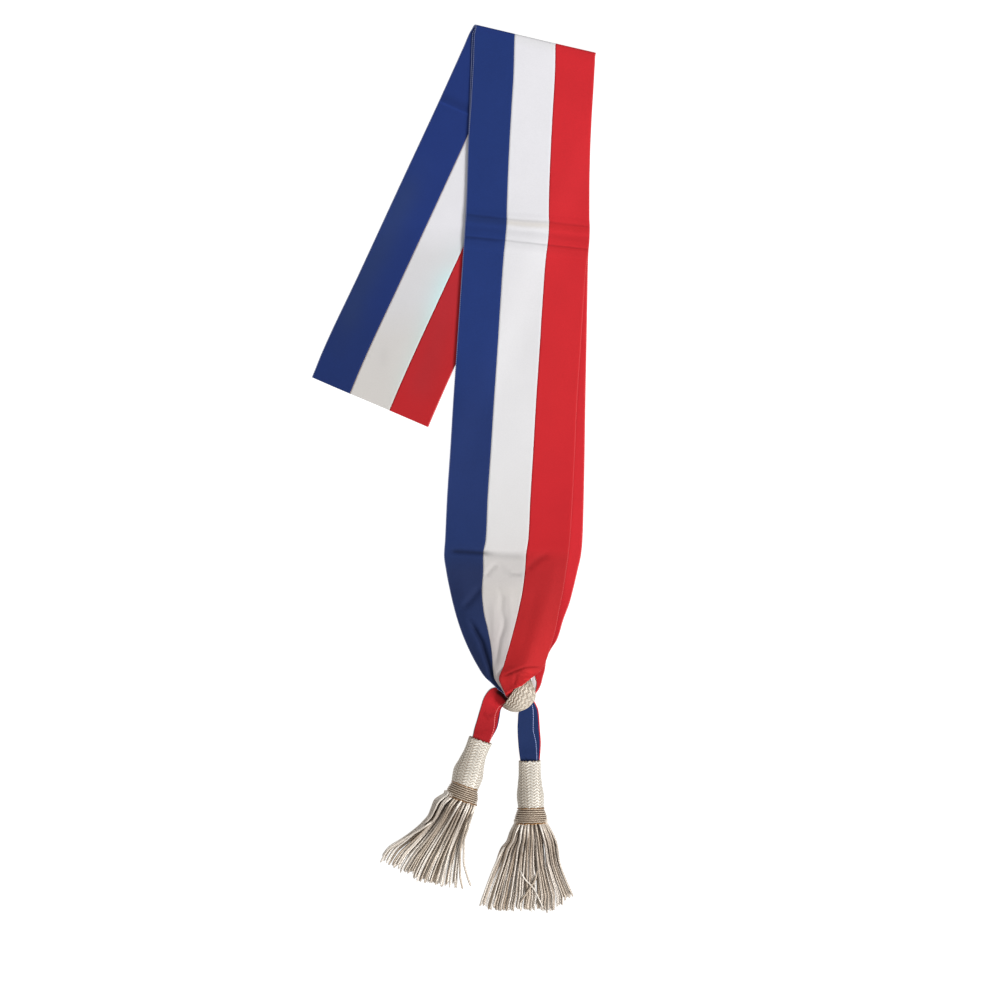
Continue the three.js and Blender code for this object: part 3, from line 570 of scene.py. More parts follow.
def fold_stations(line, level, radius, outward, start, front_out, zone=None, slide=0.0):
    """Half a turn round a fold line, from start degrees above its axis to as many below it.

    slide: how far left and down the lowest layer's corner lies from the top layer's.
    """
    made = []
    for i in range(FOLD_STEPS + 1):
        angle = math.radians(mix(start, -start, i / FOLD_STEPS))
        radial = outward * math.cos(angle) + UP * math.sin(angle)
        ends = [np.array([x, y, level]) + radial * radius for x, y in line]
        ends[0] -= slide * (1 - radial[2]) / 2
        facing = radial if front_out else -radial
        made.append(Station(joined_stripes(seam_points(*ends), facing), facing, "fold", zone))
    return made


def gather_stations(lines, part, zone=None, crowns=None):
    made = []
    for i in range(len(lines[0])):
        edges = [np.array(line[i]) for line in lines]
        heights = [crown[i] for crown in crowns] if crowns else NO_CROWNS
        made.append(Station(joined_stripes(edges, UP, heights), UP, part, zone))
    return made


def crowned_line(left, right, crown, facing):
    left, right = np.array(left), np.array(right)
    t = ACROSS[:, None]
    return mix(left, right, t) + facing * crown * 4 * t * (1 - t)


def tip_stations(rows, part, zone=None):
    return [Station([crowned_line(left, right, crown, UP) for left, right, crown in row], UP, part, zone)
            for row in rows]


def stack_station(centre, heading, turn, width, layer_step, part, zone, skew=0.0, shift=0.0, windows=None):
    """The three stripes one upon another, rolled by turn about the path's heading."""
    level = turned(np.cross(UP, turned(EAST, heading)), skew)
    roll = math.radians(turn)
    across = level * math.cos(roll) + UP * math.sin(roll)
    facing = UP * math.cos(roll) - level * math.sin(roll)
    stripes = []
    for k, (start, end) in zip(STRIPES, windows or (WHOLE,) * 3):
        middle = centre + facing * ((k - WHITE) * layer_step) + across * ((k - WHITE) * shift)
        ends = [middle + across * width * (share - 0.5) for share in (start, end)]
        stripes.append(crowned_line(*ends, 0.0, facing))
    return Station(stripes, facing, part, zone)


def red_tail_stations():
    made = []
    for inner_x, inner_y, outer_x, outer_y, z, share, rim in RED_TAIL:
        inner, outer = np.array([inner_x, inner_y, z]), np.array([outer_x, outer_y, z])
        side = unit(inner - outer)
        spans = ((outer, inner + side * rim), (outer - side * RED_TAIL_WHITE_OUT, inner),
                 (outer, mix(outer, inner, share)))
        stripes = [crowned_line(*(end + UP * (k - WHITE) * TAIL_STEP for end in span), 0.0, UP)
                   for k, span in zip(STRIPES, spans)]
        made.append(Station(stripes, UP, "red_tail", "red_tail"))
    return made


def ribbon_stations():
    """Every crosswise line of the ribbon, from the red tail's end to the blue tail's end."""
    lower = [stack_station(np.array([x, y, z]), heading, 0.0, width, BUNDLE_STEP if deep else EXIT_STEP,
                           "lower_ring", "inside" if deep else "exit", windows=(WHOLE, WHOLE, (start, 1.0)))
             for x, y, z, heading, width, start, deep in LOWER_BUNDLE]
    upper = [stack_station(ring_point(along, side, z), heading, turn, BUNDLE_WIDTH, layer, "ring",
                           "inside" if along > 0 else "front", skew, shift)
             for along, side, z, heading, turn, skew, shift, layer in UPPER_BUNDLE]
    blue_tail = [stack_station(np.array([x, y, z]), heading, 180.0, width, TAIL_STEP, "blue_tail",
                               "blue_tail", windows=((1.0 - share, 1.0), BLUE_TAIL_WHITE, BLUE_TAIL_RED))
                 for x, y, z, heading, width, share in BLUE_TAIL]
    hidden = (
        red_tail_stations()[::-1] + lower[::-1] + tip_stations(LOWER_TIP, "lower_tip")[::-1]
        + gather_stations(LOWER_GATHER, "lower_gather")[::-1]
        + flat_stations(FRONT_LOWER, LOWER_FRONT, UP, "hidden", lift=lift_over_band)[::-1]
    )
    for station in hidden:
        station.facing = -station.facing
    return (
        hidden
        + fold_stations(TOP_FOLD, TOP_FOLD_LEVEL, INNER_TURN, TOP_OUT, 90, False, slide=CORNER_SLIDE)
        + flat_stations(BAND, UPPER_FRONT, UP, "band", "band")
        + fold_stations(LOW_FOLD, LOW_FOLD_LEVEL, INNER_TURN, LOW_OUT, 90, True, "band")
        + flat_stations(BAND[::-1], LOWER_FRONT, -UP, "hidden")
        + fold_stations(TOP_FOLD, TOP_FOLD_LEVEL, OUTER_TURN, TOP_OUT, -90, True, slide=CORNER_SLIDE)
        + flat_stations(FRONT_UPPER, UPPER_FRONT, UP, "front", "front", lift_over_band)
        + gather_stations(UPPER_GATHER, "gather", "front", UPPER_CROWNS)
        + tip_stations(UPPER_TIP, "tip", "front")
        + upper
        + blue_tail
    )


# Folds and dents: points of a line in the view from above, half width, height, and darkening,
# which is one value or one for each of red, green and blue. The darkening is painted shade
# along the line; below zero it is painted light.
CREASES = {
    "front": [
        ([(445, 213), (485, 217), (520, 220.5), (548, 222.5), (608, 228.5)], 0.8, -0.40, 0.19),
        ([(450, 212.8), (470, 215.3), (486, 217.6), (502, 219.6)], 1.2, 0.0, 0.15),
        ([(450, 236), (470, 238.2), (486, 240), (502, 241.8)], 1.2, 0.0, 0.18),
        ([(445, 216.5), (485, 220.5), (520, 224), (548, 226), (608, 232)], 2.5, 0.0, (0.11, 0.14, 0.20)),
        ([(445, 221), (506, 226.5), (548, 230), (608, 236)], 1.5, 0.25, 0.0),
        ([(445, 227), (506, 232), (546, 236), (608, 243)], 3.0, 0.0, 0.08),
        ([(445, 235.5), (506, 240.5), (546, 245), (608, 252)], 0.7, -0.50, 0.24),
        ([(445, 240), (506, 245), (546, 249.5), (608, 256.5)], 3.0, 0.0, 0.07),
        ([(449, 551), (460, 551.5), (474, 552.3), (491, 553.3)], 1.9, -1.00, 0.52),
        ([(482, 553.2), (503, 554.8), (525, 556.0)], 2.8, -0.60, 0.15),
        ([(526, 571), (532, 564.5), (539, 558.5), (549, 554)], 2.8, -0.80, 0.14),
        ([(485, 577), (491, 569), (497.5, 563)], 2.1, -0.80, 0.04),
        ([(497.5, 563), (504, 569), (511, 573), (524, 574)], 2.1, -0.80, 0.04),
        ([(499, 588), (502, 598), (501.5, 610), (504, 619), (503.5, 627), (500, 638), (498, 652),
          (496.5, 668)], 2.0, -1.00, 0.07),
        ([(509, 590), (511, 606), (511, 624), (506, 645)], 2.6, 0.50, 0.0),
        ([(493, 600), (494, 620), (493, 650)], 2.2, 0.40, 0.0),
        ([(481, 587), (472, 598), (463, 608)], 3.0, -1.40, 0.06),
        ([(470, 620), (476, 631), (481.5, 641), (488, 662), (495.5, 685)], 2.0, -3.00, 0.40),
        ([(503.5, 676), (510, 672.5), (517, 669.5), (524.5, 666.5), (532, 666), (541, 666.5)], 1.1,
         -1.00, 0.20),
        ([(517, 672), (515.5, 678), (514, 684)], 1.0, -1.00, 0.12),
        ([(527, 672), (525, 679)], 4.5, 1.20, 0.0),
        ([(514, 686), (524, 680), (536, 673)], 5.0, 0.0, -0.35),
        ([(499, 668), (503, 680), (511, 697)], 5.0, 0.0, -0.40),
        ([(556, 560), (551, 590), (541, 625)], 3.5, 0.30, 0.0),
        ([(537, 585), (530, 620), (521, 655)], 3.5, -0.30, 0.0),
    ],
    "band": [
        # Painted highlight along the fold, and painted shade above it.
        ([(425, 95.5), (440, 102), (454, 108.2), (482, 121.0)], 0.9, 0.30, -0.26),
        ([(425, 89.5), (440, 96), (454, 102.2), (482, 115.0)], 4.2, -0.30, 0.17),
        ([(462, 262), (448, 300), (432, 355), (412, 408)], 14.0, 0.0, (0.12, -0.22, -0.20)),
        # Painted sheen on the blue.
        ([(418, 165), (390, 227), (357, 293), (338, 345)], 12.0, 0.0, (-0.50, -0.18, 0.14)),
        # A small stain.
        ([(384, 346), (384, 368)], 4.0, 0.0, 0.04),
    ],
    "red_tail": [
        ([(484, 712), (489.5, 717.6), (495, 716)], 1.6, -0.80, 0.12),
        # Painted shadow: the ring's dark mouth, painted near black.
        ([(495, 689.5), (503, 696), (507, 700.5), (511, 706)], 1.4, -0.80, 0.99),
        ([(497, 689), (506, 695), (510.5, 699.5), (515, 705)], 1.8, -0.80, 0.99),
        # Painted light on the tail beside the mouth.
        ([(490, 696), (499, 702), (504, 710)], 4.0, 0.0, -0.45),
    ],
    "exit": [
        # Painted light on the white edge beside the ring.
        ([(534.5, 674), (536, 684), (536, 696)], 0.8, 0.0, -0.45),
    ],
}

# How the colour changes down the picture, zone by zone; inside the ring the ribbon is painted dark as its
# shade. Columns: place, then red, green and blue shares.
TONES = {
    "front": [
        (275, 1.0, 1.0, 1.0), (435, 0.98, 0.98, 0.98), (535, 0.93, 0.93, 0.92),
        (550, 0.92, 0.91, 0.9), (560, 0.8, 0.78, 0.76), (600, 0.78, 0.75, 0.73),
        (645, 0.7, 0.66, 0.64), (690, 0.62, 0.58, 0.56),
    ],
    "band": [
        (24, 1.0, 1.0, 1.0), (225, 1.01, 1.01, 1.03), (256, 0.88, 0.88, 0.88),
        (300, 0.85, 0.85, 0.85), (340, 0.81, 0.79, 0.75), (430, 0.79, 0.76, 0.7),
    ],
    "blue_tail": [
        (760, 0.98, 0.84, 0.62),
    ],
    "red_tail": [
        (690, 0.84, 0.76, 0.76), (720, 0.65, 0.6, 0.6), (740, 0.68, 0.66, 0.66),
    ],
    "exit": [
        (760, 0.95, 0.9, 0.88),
    ],
    # Painted shade: the ribbon inside the ring is painted dark.
    "inside": [
        (760, 0.16, 0.15, 0.15),
    ],
}

# How each stripe of the front column differs from that, with the same columns.
STRIPE_TONES = {
    BLUE: [
        (24, 1.0, 1.04, 1.0), (340, 1.02, 1.04, 0.98), (420, 1.0, 0.92, 0.8),
        (500, 1.12, 0.97, 0.81), (540, 1.02, 0.93, 0.77), (560, 1.27, 1.02, 0.77),
        (572, 1.5, 1.03, 0.72), (595, 1.4, 0.98, 0.68), (612, 1.45, 1.1, 0.77),
        (632, 1.6, 1.22, 0.86), (650, 1.5, 1.12, 0.78),
    ],
    WHITE: [
        (24, 1.07, 1.07, 1.09), (150, 1.04, 1.04, 1.06), (300, 0.97, 0.97, 0.97),
        (450, 0.98, 0.98, 0.97), (570, 0.95, 0.94, 0.92), (578, 1.0, 0.99, 0.97),
        (592, 1.04, 1.03, 0.99), (620, 1.06, 1.05, 1.03), (640, 1.03, 1.01, 1.0),
        (690, 0.97, 0.95, 0.94),
    ],
    RED: [
        (24, 1.04, 1.0, 0.99), (140, 1.05, 1.04, 1.04), (190, 1.01, 1.02, 1.0),
        (260, 0.99, 0.96, 0.94), (400, 0.99, 0.98, 0.92), (500, 0.95, 0.83, 0.86),
        (545, 0.92, 0.8, 0.8), (560, 0.95, 1.04, 0.95), (590, 0.95, 1.15, 1.0),
        (615, 1.02, 1.27, 1.06), (650, 1.14, 1.38, 1.15),
    ],
}


# Over this share of its length, at both ends, a crease fades to this share of its depth.
END_SHARE = 0.18
END_DEPTH = 0.25
# Very shallow waves. Columns: height, lengths across and down the picture, and offset.
WAVES = [(0.10, 17.0, 41.0, 0.0), (0.08, -29.0, 23.0, 1.3), (0.05, 7.5, 61.0, 0.4)]
# The least gap between two crosswise lines, and how many times the next line's step a step may be.
LEAST_GAP = 0.05
STEP_GROWTH = 3
FACING_PULL = 0.001
NO_EDGE = 99.0


def line_distance(points, line):
    """Distance from each level point to a line of points, and how far along the line it is."""
    spots = np.array([spot(*p) for p in line])
    starts = run_length(spots)
    best = np.full(points.shape[:-1], np.inf)
    place = np.zeros(points.shape[:-1])
    for a, b, start in zip(spots[:-1], spots[1:], starts):
        length = np.linalg.norm(b - a)
        t = np.clip(((points - a) @ (b - a)) / length ** 2, 0.0, 1.0)
        distance = np.linalg.norm(points - (a + t[..., None] * (b - a)), axis=-1)
        nearer = distance < best
        best = np.where(nearer, distance, best)
        place = np.where(nearer, (start + t * length) / starts[-1], place)
    return best, place


def creases_at(points, zone):
    """The height that a zone's creases add at level points, and the painted light and shade they leave."""
    height = np.zeros(points.shape[:-1])
    light = np.ones(points.shape[:-1] + (3,))
    for line, half_width, rise, dark in CREASES.get(zone, ()):
        distance, place = line_distance(points, line)
        ends = smooth(place / END_SHARE) * smooth((1.0 - place) / END_SHARE)
        bell = mix(END_DEPTH, 1.0, ends) * np.exp(-(distance / half_width) ** 2)
        height += rise * bell
        light *= 1.0 - np.multiply.outer(bell, np.broadcast_to(dark, 3))
    return height, light


def tones_at(points, rows):
    """The colour shares at level points from rows of such shares."""
    table = np.array(rows, float)
    place = ORIGIN_POINT[1] - points[..., 1] / POINT_SIZE
    return np.stack([np.interp(place, table[:, 0], table[:, c]) for c in (1, 2, 3)], axis=-1)


def gentle_waves(points):
    x, y = points[..., 0], points[..., 1]
    return sum(height * np.sin(x / across + y / down + offset) for height, across, down, offset in WAVES)


def dense(stations, stripe):
    """The stripe's middle surface and facing on many crosswise lines, and its share in each zone."""
    points = np.array([s.stripes[stripe] for s in stations])
    facing = np.array([s.facing for s in stations])
    zones = {zone: np.array([float(s.zone == zone) for s in stations]) for zone in TONES}
    gaps = np.linalg.norm(np.diff(points.mean(axis=1), axis=0), axis=1)
    places = np.concatenate([[0.0], np.cumsum(np.maximum(gaps, LEAST_GAP))])
    wanted = []
    for i, gap in enumerate(gaps):
        parts = max(1, math.ceil(gap / min(stations[i].step, stations[i + 1].step * STEP_GROWTH)))
        wanted.extend(places[i] + (places[i + 1] - places[i]) * np.arange(parts) / parts)
    wanted = np.array(wanted + [places[-1]])
    surface = monotone(places, points, wanted)
    face = unit(np.stack([np.interp(wanted, places, facing[:, c]) for c in range(3)], axis=-1))
    shares = {zone: np.interp(wanted, places, marks) for zone, marks in zones.items()}
    return surface, face, shares


def add_sheet(build, surface, face, thick, edge_at, tint, thread):
    """Adds a closed sheet about its middle surface.

    edge_at: 0 or 1 where its selvedge is, or None; thread: how clear the selvedge is.
    """
    rows, columns = surface.shape[:2]
    normal = unit(np.cross(np.gradient(surface, axis=1), np.gradient(surface, axis=0)))
    normal = unit(facing_out(normal, face[:, None, :]) + FACING_PULL * face[:, None, :])
    front, back = surface + normal * thick / 2, surface - normal * thick / 2
    faces = quads(rows, 2 * columns)
    j = np.arange(columns - 1)
    mirror = 2 * columns - 1 - j
    caps = np.stack([j, mirror, mirror - 1, j + 1], axis=-1)
    place = np.arange(len(faces)) % (2 * columns)
    flat = (place == columns - 1) | (place == 2 * columns - 1)
    faces = np.concatenate([faces, caps, caps[:, ::-1] + (rows - 1) * 2 * columns])
    flat = np.concatenate([flat, np.ones(2 * len(caps), bool)]).tolist()
    widths = np.linalg.norm(np.diff(surface, axis=1), axis=-1)
    across = np.concatenate([np.zeros((rows, 1)), np.cumsum(widths, axis=1)], axis=1)
    along = np.broadcast_to(run_length(surface.mean(axis=1))[:, None], across.shape)
    edge = {0: across, 1: across[:, -1:] - across, None: np.full(across.shape, NO_EDGE)}[edge_at]
    threads = np.broadcast_to(thread[:, None], across.shape)
    across, along, edge, threads, tint = [np.concatenate([v, v[:, ::-1]], axis=1)
                                          for v in (across, along, edge, threads, tint)]
    build.add(np.concatenate([front, back[:, ::-1]], axis=1), faces, np.stack([across, along], axis=-1),
              flat, edge=edge, thread=threads, tint=tint)


# The folded-under part of a tail, which shows beside its selvedge.
PLEAT_DROP = 0.95
PLEAT_CLOTH = 0.6
PLEAT_LINES = 56
BLUE_PLEAT = (-0.3, 0.45)
RED_PLEAT_START = 0.4


def blue_pleat():
    for x, y, z, heading, width, _ in BLUE_TAIL:
        level = np.cross(UP, turned(EAST, heading))
        yield [np.array([x, y, z + TAIL_STEP - PLEAT_DROP]) + level * width * share for share in BLUE_PLEAT]


def red_pleat():
    for inner_x, inner_y, outer_x, outer_y, z, *_ in RED_TAIL:
        level = z + TAIL_STEP - PLEAT_DROP
        inner, outer = np.array([inner_x, inner_y, level]), np.array([outer_x, outer_y, level])
        yield mix(outer, inner, RED_PLEAT_START), inner


def add_pleat(build, ends, zone):
    """Adds a plain strip between the ends of its crosswise lines."""
    points = np.array([crowned_line(left, right, 0.0, UP) for left, right in ends])
    places = run_length(points.mean(axis=1))
    pleat = monotone(places, points, np.linspace(0.0, places[-1], PLEAT_LINES))
    add_sheet(build, pleat, np.tile(UP, (PLEAT_LINES, 1)), PLEAT_CLOTH, None, tones_at(pleat, TONES[zone]),
              np.zeros(PLEAT_LINES))


# The stripes' names, colours, selvedge threads' colours and mottle.
SILKS = [
    ("blue", (25, 45, 102), (132, 142, 182), 0.26),
    ("white", (202, 201, 203), (134, 84, 84), 0.09),
    ("red", (182, 33, 40), (206, 104, 104), 0.20),
]
SELVEDGE_SIDE = (0, 0, 1)
FRONT_THREAD = (0.9, 0.0, 0.28)
SEAM_THREAD = 0.6
PLEATS = {BLUE: (blue_pleat, "blue_tail"), RED: (red_pleat, "red_tail")}
stations = ribbon_stations()
for stripe, (name, colour, thread_colour, mottle) in enumerate(SILKS):
    surface, face, shares = dense(stations, stripe)
    flat = surface[..., :2]
    rise = gentle_waves(flat) * (shares["front"] + shares["band"])[:, None]
    # The tint carries the zones' tones, the creases' painted light and shade, and the front stripes' own
    # tones.
    tint = np.ones(surface.shape)
    for zone, share in shares.items():
        height, light = creases_at(flat, zone)
        rise += height * share[:, None]
        tint *= mix(1.0, tones_at(flat, TONES[zone]) * light, share[:, None, None])
    tint *= mix(1.0, tones_at(flat, STRIPE_TONES[stripe]), shares["front"][:, None, None])
    thread = mix(1.0, FRONT_THREAD[stripe], shares["front"])
    if stripe == WHITE:
        thread = shares["band"] * SEAM_THREAD
    build = Build()
    add_sheet(build, surface + rise[..., None] * face[:, None, :], face, CLOTH, SELVEDGE_SIDE[stripe], tint,
              thread)
    if stripe in PLEATS:
        pleat_ends, zone = PLEATS[stripe]
        add_pleat(build, pleat_ends(), zone)
    silk = cloth_material(f"{name}_silk", linear(*colour), linear(*thread_colour), mottle)
    piece = build.piece(f"{name}_silk", silk, f"{name}_stripe")


# Braid: rows of cord that zigzag, each arm leaning one way.
BRAID_ROW = 2.4
BRAID_PERIOD = 3.5
BRAID_SWING = 0.74
BRAID_HEIGHT = 0.75
BRAID_GROOVE = 0.6
BRAID_ROUND = 1.3
BRAID_PIT = 0.35
PIT_WIDTH = 0.17
CORD_YARNS = 3.0
CORD_YARN_HEIGHT = 0.04


def braid_relief(around, along, groove=BRAID_GROOVE, pitted=BRAID_PIT, lean=BRAID_SWING):
    """Height of the braid, 0 to 1, at places in millimetres around and along it."""
    arm = 2 * around / BRAID_PERIOD
    share = arm - np.floor(arm)
    swing = np.where(np.floor(arm) % 2 == 1, share, 1.0 - share)
    rows = along / BRAID_ROW + (swing - 0.5) * lean
    cord = 1.0 - groove * (1.0 - np.abs(np.sin(np.pi * rows))) ** BRAID_ROUND
    meet = np.minimum(share, 1.0 - share)
    pit = pitted * np.exp(-(meet / PIT_WIDTH) ** 2) * mix(0.5, 1.0, np.cos(np.pi * rows) ** 2)
    pit = pit * mix(0.5, 1.0, np.round(arm) % 2)
    yarns = CORD_YARN_HEIGHT * np.cos(2 * np.pi * rows * CORD_YARNS)
    return np.clip(cord * (1.0 - pit) + yarns, 0.0, 1.0)


# Thread: its fine yarns, its specks, and how much the relief and the specks lighten it; the relief's dark
# grooves are painted shade.
FINE_PITCH = 0.42
FINE_HEIGHT = 0.5
THREAD_BUMP = 0.00005
SPECK_SCALE = 1400.0
SPECK_WEIGHT = 0.2
SPECK_HEIGHT = 0.6
RELIEF_WEIGHT = 1.25
DARK_LIMIT = 0.25
THREAD_CLOUDS = {"scale": 120.0, "depth": 0.2}


def braid_material(name, light, dark, rough, metal):
    """Silky metal thread: pale on the cords, brown in the grooves as painted shade, with fine yarns."""
    g = Graph(bpy.data.materials.new(name))
    across, along = g.cloth_uv()
    fine = g.wave(g.plus(across, along), FINE_PITCH)
    place = g.place()
    speck = g.noise(place, SPECK_SCALE, 2.0)
    share = g.weighed((g.value("relief"), RELIEF_WEIGHT), (speck, SPECK_WEIGHT))
    share = g.math("SUBTRACT", share, DARK_LIMIT, clamp=True)
    tone = g.clouded(g.blend(share, linear(*dark), linear(*light)), place, **THREAD_CLOUDS)
    height = g.weighed((fine, FINE_HEIGHT), (speck, SPECK_HEIGHT))
    return g.finish(tone, height, THREAD_BUMP, Roughness=rough, Metallic=metal, Specular_IOR_Level=0.5)


braid = braid_material("cream_braid", (202, 197, 187), (128, 106, 80), 0.46, 0.3)
ring_cord = braid_material("ring_cord", (178, 168, 154), (100, 70, 38), 0.42, 0.3)
wound = braid_material("wound_cord", (182, 167, 149), (84, 60, 40), 0.42, 0.40)

# A tube's rims: how far the relief fades there, how deep they sink, and the dark tone there and inside,
# which is painted shade.
RIM_FADE = 0.8
RIM_DROP = 0.5
RIM_TONE = 0.3
PAINTED_INSIDE_SHADE = 0.25
INSIDE_ROWS = 8


def braided_tube(name, node, grid, outer_at, inner_at, relief_at, height, hub, material, light_at=None):
    """A closed tube whose outer face carries a relief that fades out at both rims.

    grid: its rows and columns; light_at: the painted light and shade at each angle, or None.
    """
    rows, columns = grid
    v, angle = np.meshgrid(np.linspace(0, 1, rows), np.linspace(0, 2 * np.pi, columns, endpoint=False),
                           indexing="ij")
    base = outer_at(angle, v)
    ahead = np.roll(base, -1, axis=1)
    normal = unit(np.cross(ahead - np.roll(base, 1, axis=1), np.gradient(base, axis=0)))
    normal = facing_out(normal, base - hub)
    around = np.cumsum(np.linalg.norm(ahead - base, axis=-1), axis=1)
    lengths = np.linalg.norm(np.diff(base, axis=0), axis=-1).mean(axis=1)
    along = np.concatenate([[0.0], np.cumsum(lengths)])[:, None] + np.zeros((1, columns))
    relief = relief_at(angle, v)
    rim = np.minimum(v, 1 - v) * along[-1, 0]
    fade = np.sqrt(np.clip(1 - (1 - np.clip(rim / RIM_FADE, 0, 1)) ** 2, 0, 1))
    outer = base + normal * ((relief - 1.0) * height * fade - RIM_DROP * (1 - fade))[..., None]
    inner = inner_at(*np.meshgrid(angle[0], np.linspace(1, 0, INSIDE_ROWS)))
    faces = quads(rows + INSIDE_ROWS, columns)
    j = np.arange(columns)
    k = (j + 1) % columns
    last = (rows + INSIDE_ROWS - 1) * columns
    closing = np.stack([last + j, last + k, k, j], axis=-1)
    inside = np.zeros((INSIDE_ROWS, columns))
    uv = np.concatenate([np.stack([around, along], axis=-1),
                         np.stack([inside + around[0], inside], axis=-1)])
    # The sleeves' braid carries painted light and shade by side; the rims and the inside are painted dark as
    # shade.
    tone = relief if light_at is None else relief * light_at(angle)
    value = np.concatenate([mix(RIM_TONE, tone, fade), inside + PAINTED_INSIDE_SHADE])
    build = Build()
    build.add(np.concatenate([outer, inner]), np.concatenate([faces, closing]), uv, relief=value)
    build.piece(name, material, node)


def power(share, exponent):
    """A share raised to a power, with its sign kept."""
    return np.sign(share) * np.abs(share) ** exponent


def oval(centre, across, half, height, angle, exponent=1.0):
    """Places round an oval of these half sizes; an exponent under 1 makes it squarer."""
    side, rise = power(np.cos(angle), exponent), power(np.sin(angle), exponent)
    return centre + across * (half * side)[..., None] + UP * (height * rise)[..., None]


# Slide ring.
RING_GRID = (76, 300)
RING_HALF_WIDTH = 15.5
RING_HALF_HEIGHT = 11.3
RING_WALL = 1.7
RING_LENGTH_LEFT = 3.0
RING_LENGTH_RIGHT = 6.4
RING_LENGTH_TOP = 13.8
RING_PEAK = 1.2
RING_RIGHT_SWELL = 1.0
RING_LENGTH_FOOT = 0.5
RING_ROUND = 0.7
RING_SQUARENESS = 0.8
RING_RIDGES = 6.6
RING_WAVE = 4.6
RING_GROOVE = 0.9
RING_PALE_GROOVE = 0.45
PALE_START = 0.3
PALE_FADE = 0.4
RING_PIT = 0.10
RING_SWING = 0.54
RING_RELIEF = 1.1
RING_CURL = 0.45
SHOULDER_ANGLE = np.pi / 5
SHOULDER_FADE = np.pi / 3
RING_REACH = 7.0
RING_MIDDLE = ring_point(RING_REACH, 0.0, RING_HALF_HEIGHT)


def ring_surface(angle, v, wall):
    """A place on the ring's band, wall deep under its outer face; v runs from rim to rim."""
    side, rise = power(np.cos(angle), RING_SQUARENESS), power(np.sin(angle), RING_SQUARENESS)
    right = smooth((1 + np.cos(angle)) / 2)
    over = np.clip(np.sin(angle), 0.0, None)
    under = np.clip(-np.sin(angle), 0.0, None)
    length = mix(RING_LENGTH_LEFT, RING_LENGTH_RIGHT, right)
    length = length + RING_LENGTH_TOP * over ** (1.0 + RING_PEAK * right) - RING_LENGTH_FOOT * under
    drop = np.where(rise > 0, np.sqrt(1 - (RING_ROUND * v) ** 2), 1.0)
    half = (RING_HALF_WIDTH - wall) * side + RING_RIGHT_SWELL * smooth(np.cos(angle))
    z = RING_HALF_HEIGHT + (RING_HALF_HEIGHT - wall) * rise * drop
    return (RING_CENTRE + (length * v)[..., None] * RING_AXIS + half[..., None] * RING_SIDE
            + z[..., None] * UP)


def ring_relief(angle, v):
    """Ridges that run round the ring; on its right shoulder they curl back to the left rim."""
    side = RING_HALF_WIDTH * power(np.cos(angle), RING_SQUARENESS)
    shoulder = smooth((np.pi / 2 - np.abs(angle - SHOULDER_ANGLE)) / SHOULDER_FADE)
    ridge = v ** mix(1.0, RING_CURL, shoulder)
    groove = mix(RING_GROOVE, RING_PALE_GROOVE, smooth((ridge - PALE_START) / PALE_FADE))
    return braid_relief(side / RING_WAVE * BRAID_PERIOD, ridge * RING_RIDGES * BRAID_ROW, groove, RING_PIT,
                        RING_SWING)


braided_tube("braided_slide_ring", "slide_ring", RING_GRID, lambda a, v: ring_surface(a, v, 0.0),
             lambda a, v: ring_surface(a, v, RING_WALL), ring_relief, RING_RELIEF, RING_MIDDLE, ring_cord)


# Tassels. mouth and foot: the sleeve's ends on its axis; half and height: half its width and depth.
SLEEVE_GRID = (130, 240)
SLEEVE_WALL = 1.2
SLEEVE_POCKET = 14.0
SLEEVE_ARMS = 24
SCALLOP_HEIGHT = 0.5
SCALLOP_FADE = 0.12
# Painted light and shade on the braid across a sleeve, from its left side to its right side.
SLEEVE_SIDES = [-1.0, -0.7, -0.3, 0.1, 0.5, 1.0]
SLEEVE_PAINTED_LIGHT = [0.80, 0.72, 0.78, 0.98, 1.04, 0.90]
SLEEVE_HEIGHT = [6.2, 6.8, 8.2, 9.8, 10.3]
SLEEVE_SQUARE = [2.7, 2.6, 2.2, 2.0, 2.0]
COLLAR_GRID = (110, 260)
COLLAR_SPACE = 0.1
COLLAR_HOLE = 6.6
COLLAR_LEVELS = [11.6, 11.9]
COLLAR_HEIGHT = [10.4, 11.2, 11.6, 11.4]
COLLAR_TURNS = 7
COLLAR_RELIEF = 0.95
COLLAR_CORD_ROUND = 1.1
TASSELS = {
    "left": {
        "mouth": np.array([21.2, -220.6, 6.5]),
        "foot": np.array([8.5, -257.0, 11.2]),
        "bow": -0.8,
        "sleeve_half": [9.9, 9.5, 10.7, 12.6, 11.6],
        "collar_length": 11.8,
        "collar_slide": 1.0,
        "collar_half": [11.2, 12.6, 13.6, 13.4],
    },
    "right": {
        "mouth": np.array([61.1, -237.4, 6.5]),
        "foot": np.array([62.1, -275.3, 11.2]),
        "bow": -0.3,
        "sleeve_half": [9.0, 9.1, 10.0, 11.1, 10.4],
        "collar_length": 12.1,
        "collar_slide": -0.4,
        "collar_half": [10.8, 12.4, 13.4, 13.2],
    },
}


def along_table(values, t):
    return monotone(np.linspace(0, 1, len(values)), values, np.ravel(t)).reshape(np.shape(t))


def sleeve_surface(tassel, angle, v, wall, mouth_shift):
    """A place on a sleeve, wall deep under its outer face; v runs from its mouth to its foot."""
    axis = tassel["foot"] - tassel["mouth"]
    across = unit(np.array([-axis[1], axis[0], 0.0]))
    along = unit(np.array([axis[0], axis[1], 0.0]))
    square = 2.0 / along_table(SLEEVE_SQUARE, v)
    half = along_table(tassel["sleeve_half"], v) - wall
    height = along_table(SLEEVE_HEIGHT, v) - wall
    bow = tassel["bow"] * np.sin(np.pi * v)
    centre = tassel["mouth"] + axis * v[..., None] + across * bow[..., None]
    shift = along * (mouth_shift * (1 - smooth(v / SCALLOP_FADE)))[..., None]
    return oval(centre, across, half, height, angle, square) - shift


